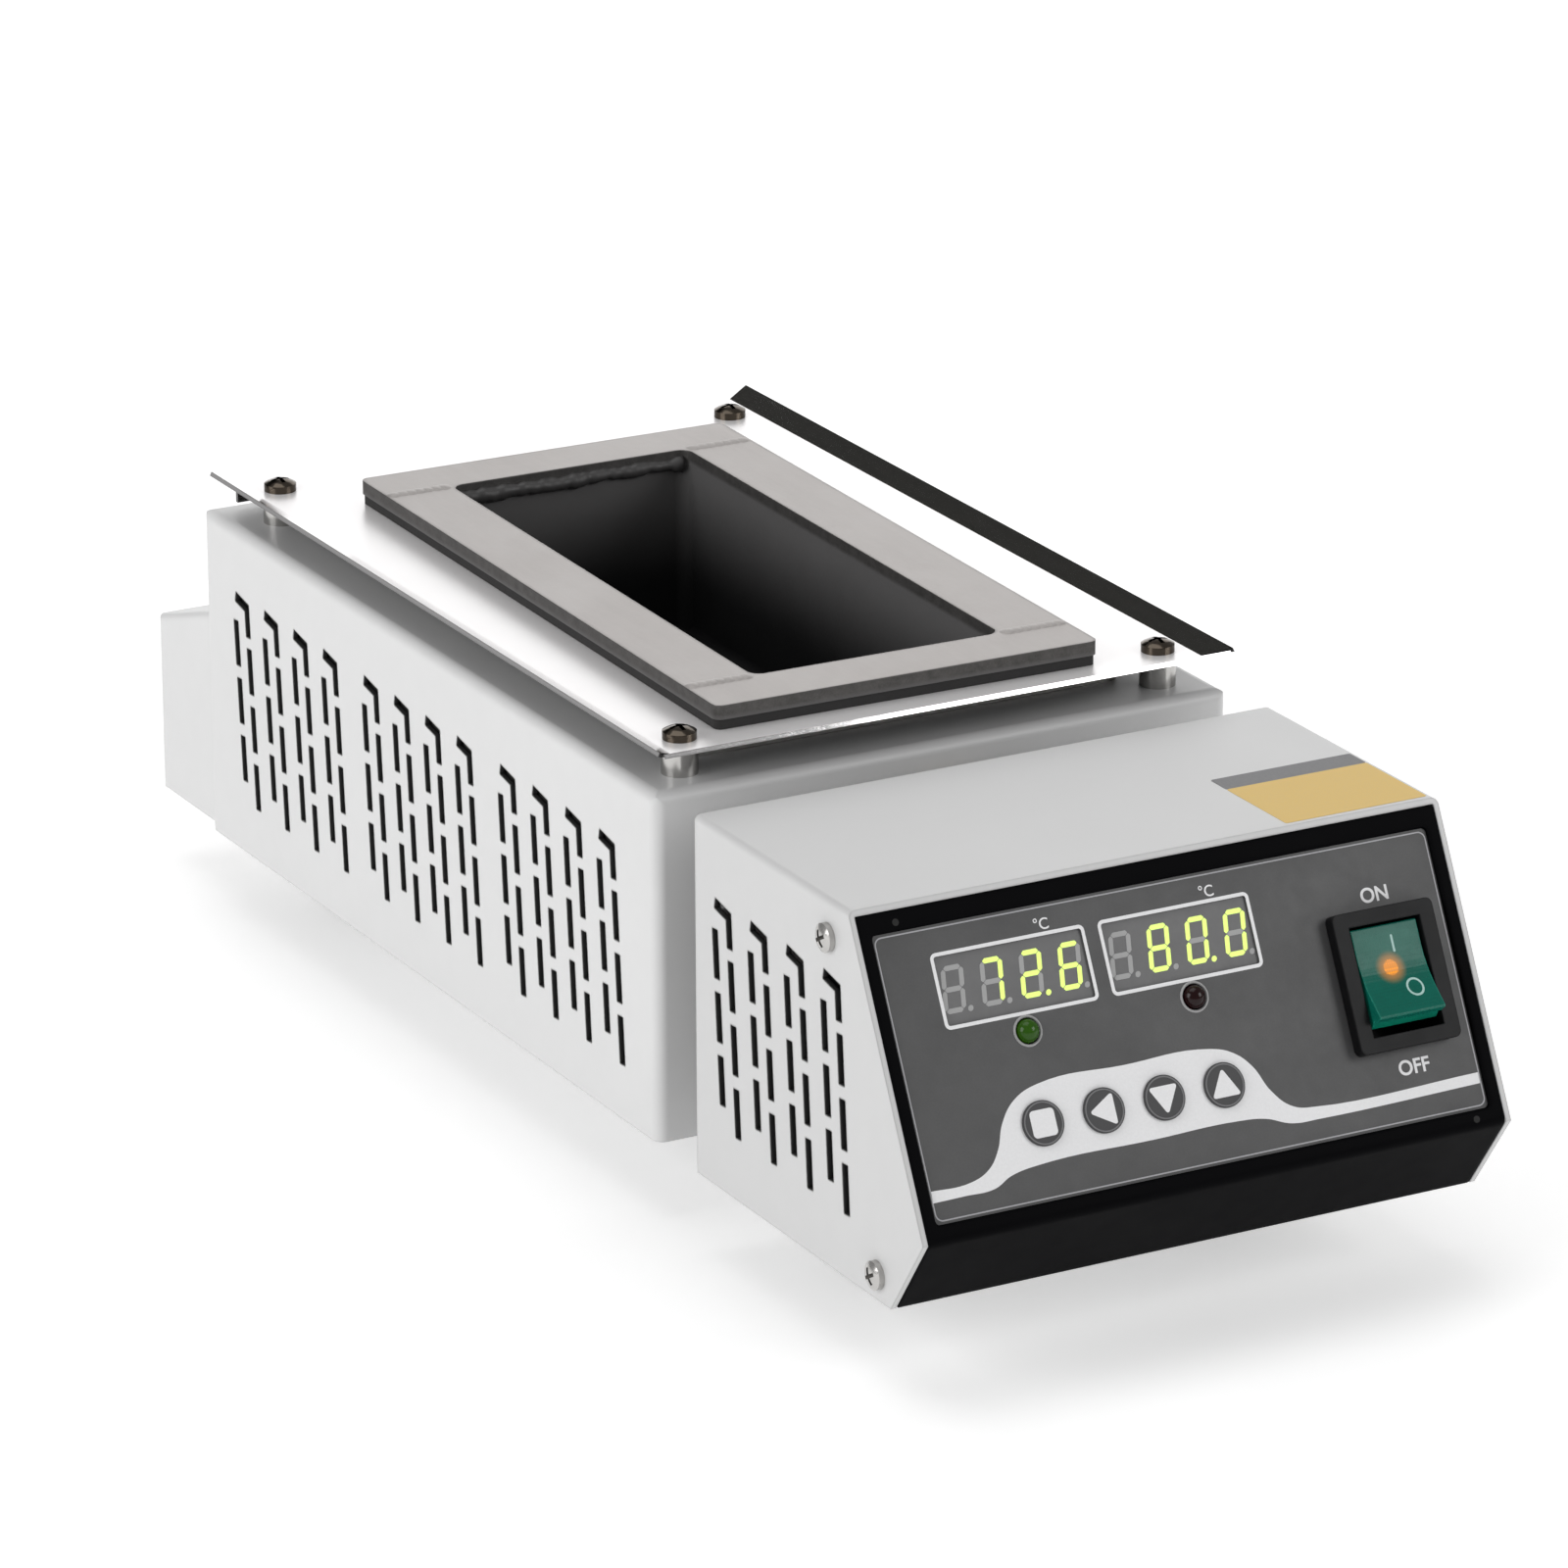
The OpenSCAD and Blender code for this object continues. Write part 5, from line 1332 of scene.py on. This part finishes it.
@dataclass
class Readout:
    """Four italic seven-segment digits on one display."""

    slope: Slope
    carrier: str
    value: str
    centres: Sequence[float]
    height: float = 9.8
    width: float = 5.3
    stroke: float = 1.15
    lean: float = 8.5
    middle: float = 49.6
    gap: float = 0.34
    thin: float = 0.92
    point: float = 0.38
    dot_r: float = 0.62
    dot_off: tuple[float, float] = (0.95, 0.45)

    SEGMENTS = {"0": "abcdef", "1": "bc", "2": "abged", "3": "abgcd", "4": "fgbc", "5": "afgcd", "6": "afgedc",
                "7": "abc", "8": "abcdefg", "9": "abcdfg", " ": ""}
    PLACES = {"a": (0, 2, 0), "b": (1, 1, 90), "c": (1, -1, 90), "d": (0, -2, 0), "e": (-1, -1, 90), "f": (-1, 1, 90),
              "g": (0, 0, 0)}

    def build(self) -> None:
        """Builds the lit and the unlit segments as one piece each."""
        lit, unlit = Drawing(self.slope, self.carrier), Drawing(self.slope, self.carrier)
        digits, points = self.parse()
        for centre, digit, point in zip(self.centres, digits, points):
            for name in self.PLACES:
                self.segment(lit.shape if name in self.SEGMENTS[digit] else unlit.shape, name, centre)
            self.dot(lit.shape if point else unlit.shape, centre)
        lit.lay(self.carrier + "_lit", SEGMENT_LIT, "display_face")
        unlit.lay(self.carrier + "_unlit", SEGMENT_DARK, "display_face")

    def parse(self) -> tuple[list[str], list[bool]]:
        """Splits the value.

        Returns:
            Its digits, and for each whether a decimal point follows.
        """
        digits: list[str] = []
        points: list[bool] = []
        for letter in self.value:
            if letter == ".":
                points[-1] = True
            else:
                digits.append(letter)
                points.append(False)
        return digits, points

    def shear(self, centre: float) -> Matrix:
        """Leans a digit and moves it to its place.

        Args:
            centre: Middle of the digit.

        Returns:
            The matrix from the digit's own middle.
        """
        lean = Matrix.Identity(4)
        lean[0][1] = math.tan(math.radians(self.lean))
        return at_point((centre, self.middle)) @ lean

    def segment(self, shape: Shape, name: str, centre: float) -> None:
        """Adds one segment with pointed ends.

        Args:
            shape: Mesh that gets it.
            name: Letter of the segment, from a to g.
            centre: Middle of the digit.
        """
        half_w, half_h = (self.width - self.stroke) / 2, (self.height - self.stroke) / 4
        across, up, turn = self.PLACES[name]
        long = 2 * (half_h if turn else half_w) - self.gap
        corners = rectangle(shape, long, self.stroke * self.thin)
        place = (self.shear(centre) @ at_point((across * half_w, up * half_h))
                 @ Matrix.Rotation(math.radians(turn), 4, "Z"))
        bmesh.ops.transform(shape, matrix=place, verts=round_corners(shape, corners, self.stroke * self.point, 1))

    def dot(self, shape: Shape, centre: float) -> None:
        """Adds the decimal point at a digit's lower right."""
        place = (self.width / 2 + self.dot_off[0], -self.height / 2 + self.dot_off[1])
        disc(shape, self.dot_r, 16, self.shear(centre) @ at_point(place))


@dataclass
class KeyMarks:
    """The embossed ring, its grey a painted highlight, and the icon on each key."""

    slope: Slope
    icon: float = 5.9
    square: float = 0.96
    triangle: float = 0.68
    triangle_drop: float = 0.45
    corner: float = 0.9
    ring_r: float = 4.45
    ring_line: float = 0.28

    KEYS = {"key_set": Glyph.SQUARE, "key_back": Glyph.LEFT, "key_down": Glyph.DOWN, "key_up": Glyph.UP}

    def build(self) -> None:
        """Builds the marks, which move with their keys."""
        for node, glyph in self.KEYS.items():
            middle = self.slope.middle(node)
            mark = Drawing(self.slope, node)
            self.glyph(mark.shape, glyph, middle)
            mark.lay(node + "_icon", PRINT_WHITE, "key_black", node)
            # The ring's grey is a painted highlight on the key's embossed edge.
            ring = Drawing(self.slope, node, depth=0.1)
            hollow(ring.shape, faces_of(disc(ring.shape, self.ring_r, 48, at_point(middle))), self.ring_line)
            ring.lay(node + "_ring", KEY_RING_HIGHLIGHT, "key_black", node)

    def glyph(self, shape: Shape, glyph: Glyph, middle: Point) -> None:
        """Adds a rounded square or a rounded triangle.

        Args:
            shape: Mesh that gets it.
            glyph: Which icon.
            middle: Its middle, across and up the slope.
        """
        if glyph is Glyph.SQUARE:
            side = self.icon * self.square
            rounded_plate(shape, side, side, self.corner, at=middle)
            return
        corners = disc(shape, self.icon * self.triangle, 3, Matrix())
        place = (at_point(middle) @ Matrix.Rotation(math.radians(glyph.value), 4, "Z")
                 @ at_point((0.0, -self.triangle_drop)))
        bmesh.ops.transform(shape, matrix=place, verts=round_corners(shape, corners, self.corner, 5))


@dataclass
class LampRims:
    """The thin rings round the two lamps."""

    slope: Slope
    inner: float = 2.75
    wire: float = 0.28

    def build(self) -> None:
        """Spins a ring round each lamp."""
        _, film = self.slope.span("panel_overlay")
        for node in ("heating_lamp", "alarm_lamp"):
            shape = bmesh.new()
            made = bmesh.ops.create_circle(shape, cap_ends=False, radius=self.wire, segments=12,
                                           matrix=Matrix.Translation((self.inner + self.wire, 0.0, film.z))
                                           @ Matrix.Rotation(math.pi / 2, 4, "X"))
            edges = list({e for v in made["verts"] for e in v.link_edges})
            bmesh.ops.spin(shape, geom=made["verts"] + edges, axis=(0.0, 0.0, 1.0), cent=(0.0, 0.0, 0.0),
                           angle=2 * math.pi, steps=48, use_merge=True)
            bmesh.ops.translate(shape, verts=shape.verts, vec=(*self.slope.middle(node), 0.0))
            shape.transform(self.slope.matrix)
            bmesh.ops.recalc_face_normals(shape, faces=shape.faces)
            finish_piece(node + "_rim", shape, LAMP_RIM, Body.FURNACE.value, smooth=True)


@dataclass
class SwitchMarks:
    """The line and the ring moulded in the rocker, which move with it."""

    slope: Slope
    line_size: tuple[float, float] = (0.5, 3.7)
    line_corner: float = 0.2
    line_at: Point = (50.9, 40.9)
    ring_r: float = 2.0
    ring_line: float = 0.45
    ring_at: Point = (52.8, 31.1)
    fineness: float = 0.7

    def build(self) -> None:
        """Builds the line and the ring."""
        bar, ring = (Drawing(self.slope, "switch_rocker") for _ in range(2))
        rounded_plate(bar.shape, *self.line_size, self.line_corner, at=self.line_at)
        hollow(ring.shape, faces_of(disc(ring.shape, self.ring_r, 48, at_point(self.ring_at))), self.ring_line)
        for name, art in (("rocker_line", bar), ("rocker_ring", ring)):
            art.lay(name, MARK_PALE, "rocker_green", Body.ROCKER.value, fineness=self.fineness)


@dataclass
class CoverLabel:
    """A plain two-colour label on the control box's top, with nothing printed on it."""

    size: tuple[float, float] = (34.4, 30.2)
    strip: float = 6.6
    side: float = 1.6
    front: float = 32.3
    corner: float = 0.6
    thickness: float = 0.08
    sink: float = 0.02

    def build(self) -> None:
        """Builds the yellow field and its dark strip."""
        low, high = (Vector(c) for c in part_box("control_cover"))
        width, length = self.size
        place = Matrix.Translation((high.x - (self.side + width / 2) * MM, low.y + (self.front + length / 2) * MM,
                                    high.z - self.sink * MM)) @ Matrix.Scale(MM, 4)
        for name, finish, height, y in (("label_field", LABEL_YELLOW, length - self.strip, -self.strip / 2),
                                        ("label_strip", LABEL_DARK, self.strip, (length - self.strip) / 2)):
            shape = bmesh.new()
            rounded_plate(shape, width, height, self.corner, at=(0.0, y))
            thicken(shape, self.thickness)
            shape.transform(place)
            finish_piece(name, shape, finish, Body.FURNACE.value)


@dataclass
class Studio:
    """Camera, floor, light and one dark card for the polished tray, in metres and degrees."""

    azimuth: float = -28.434
    elevation: float = 19.714
    roll: float = -0.226
    distance: float = 1.8603
    aim_side: float = 0.00030
    aim_up: float = 0.00412
    middle: float = 0.06
    lens: float = 193.09
    floor_side: float = 12.0
    floor_glow: float = 0.34
    surround: float = 0.32
    light_aim: tuple[float, float, float] = (0.0, 0.0, 0.05)
    card_at: tuple[float, float, float] = (0.0, 0.95, 0.78)
    card_size: tuple[float, float] = (0.45, 0.42)

    # Name, place, side in metres and power in watts of each soft box.
    BOXES = (("left", (-1.9, -0.1, 0.9), 1.3, 19.0), ("top", (-0.2, 0.3, 2.2), 1.6, 12.0),
             ("back", (0.95, 1.75, 0.75), 1.7, 12.0), ("front", (1.2, -1.4, 1.0), 0.9, 10.5))

    def build(self) -> None:
        """Builds the studio."""
        self.camera()
        self.floor()
        self.lights()
        self.card()

    def camera(self) -> None:
        """Places the camera."""
        az, el, roll = (math.radians(a) for a in (self.azimuth, self.elevation, self.roll))
        back = Vector((math.sin(az) * math.cos(el), -math.cos(az) * math.cos(el), math.sin(el)))
        right = (-back).cross(Vector((0.0, 0.0, 1.0))).normalized()
        up = right.cross(-back)
        across = right * math.cos(roll) + up * math.sin(roll)
        upright = -right * math.sin(roll) + up * math.cos(roll)
        place = Matrix((across, upright, back)).transposed().to_4x4()
        target = Vector((0.0, 0.0, self.middle)) + right * self.aim_side + up * self.aim_up
        place.translation = target + back * self.distance
        data = bpy.data.cameras.new("camera")
        data.lens, data.sensor_width, data.clip_end = self.lens, 36.0, 50.0
        camera = add_object("camera", data)
        camera.matrix_world = place
        bpy.context.scene.camera = camera

    def sheet(self, name: str, width: float, length: float, place: Matrix, material: bpy.types.Material) -> None:
        """Adds a flat sheet that belongs to the studio.

        Args:
            name: Name of the sheet.
            width: Size along its x.
            length: Size along its y.
            place: Where it lies.
            material: Its material.
        """
        shape = bmesh.new()
        rectangle(shape, width, length, place)
        add_mesh(name, shape, material)

    def floor(self) -> None:
        """A wide pale floor."""
        net = Net("floor_paper", Specular_IOR_Level=0.2, Emission_Color=(1.0, 1.0, 1.0, 1.0),
                  Emission_Strength=self.floor_glow)
        paper, _ = net.grain(net.coords(), 40.0)
        net.feed("Base Color", net.mix(paper, (0.90, 0.90, 0.90), (0.92, 0.92, 0.92)))
        net.feed("Roughness", net.spread(paper, 0.75, 0.85))
        self.sheet("floor", self.floor_side, self.floor_side, Matrix(), net.material)

    def lights(self) -> None:
        """Soft boxes on the left, above, behind and in front, all turned to the object, and an even surround."""
        world = bpy.data.worlds.new("surround")
        world.use_nodes = True
        bpy.context.scene.world = world
        ground = world.node_tree.nodes["Background"]
        ground.inputs["Color"].default_value = (1.0, 1.0, 1.0, 1.0)
        ground.inputs["Strength"].default_value = self.surround
        for name, place, side, power in self.BOXES:
            data = bpy.data.lights.new(name, "AREA")
            data.size, data.energy = side, power
            lamp = add_object(name, data)
            lamp.location = place
            lamp.rotation_euler = (Vector(self.light_aim) - Vector(place)).to_track_quat("-Z", "Y").to_euler()
        bpy.context.scene.view_settings.view_transform = "Standard"

    def card(self) -> None:
        """A dark card high behind, mirrored in the tray's raised right lip."""
        at = Vector(self.card_at)
        place = Matrix.Translation(at) @ (-at).to_track_quat("Z", "Y").to_matrix().to_4x4()
        self.sheet("dark_card", *self.card_size, place, Moulded("card_felt", (0.012, 0.012, 0.010), 0.8).get())


def main() -> None:
    """Builds the studio, dresses the frame and adds the small pieces."""
    logging.basicConfig(level=logging.INFO, format="%(name)s: %(message)s")
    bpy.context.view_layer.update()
    Studio().build()
    slope = Slope.from_frame(film_low=3.7, film_top=-0.7, film_t=0.5)
    lamp_spot = tuple(slope.matrix @ Vector((49.0, 35.9, 1.3)))
    Dresser(FINISHES | {"rocker_green": replace(FINISHES["rocker_green"], spot=lamp_spot)}).dress()
    PanelPrint(slope).build()
    Readout(slope, "display_left", " 72.6", (-49.9, -40.85, -31.75, -22.65)).build()
    Readout(slope, "display_right", " 80.0", (-10.7, -1.65, 7.45, 16.55)).build()
    KeyMarks(slope).build()
    LampRims(slope).build()
    SwitchMarks(slope).build()
    CoverLabel().build()
    WeldedPot().build()


if __name__ == "__main__":
    main()
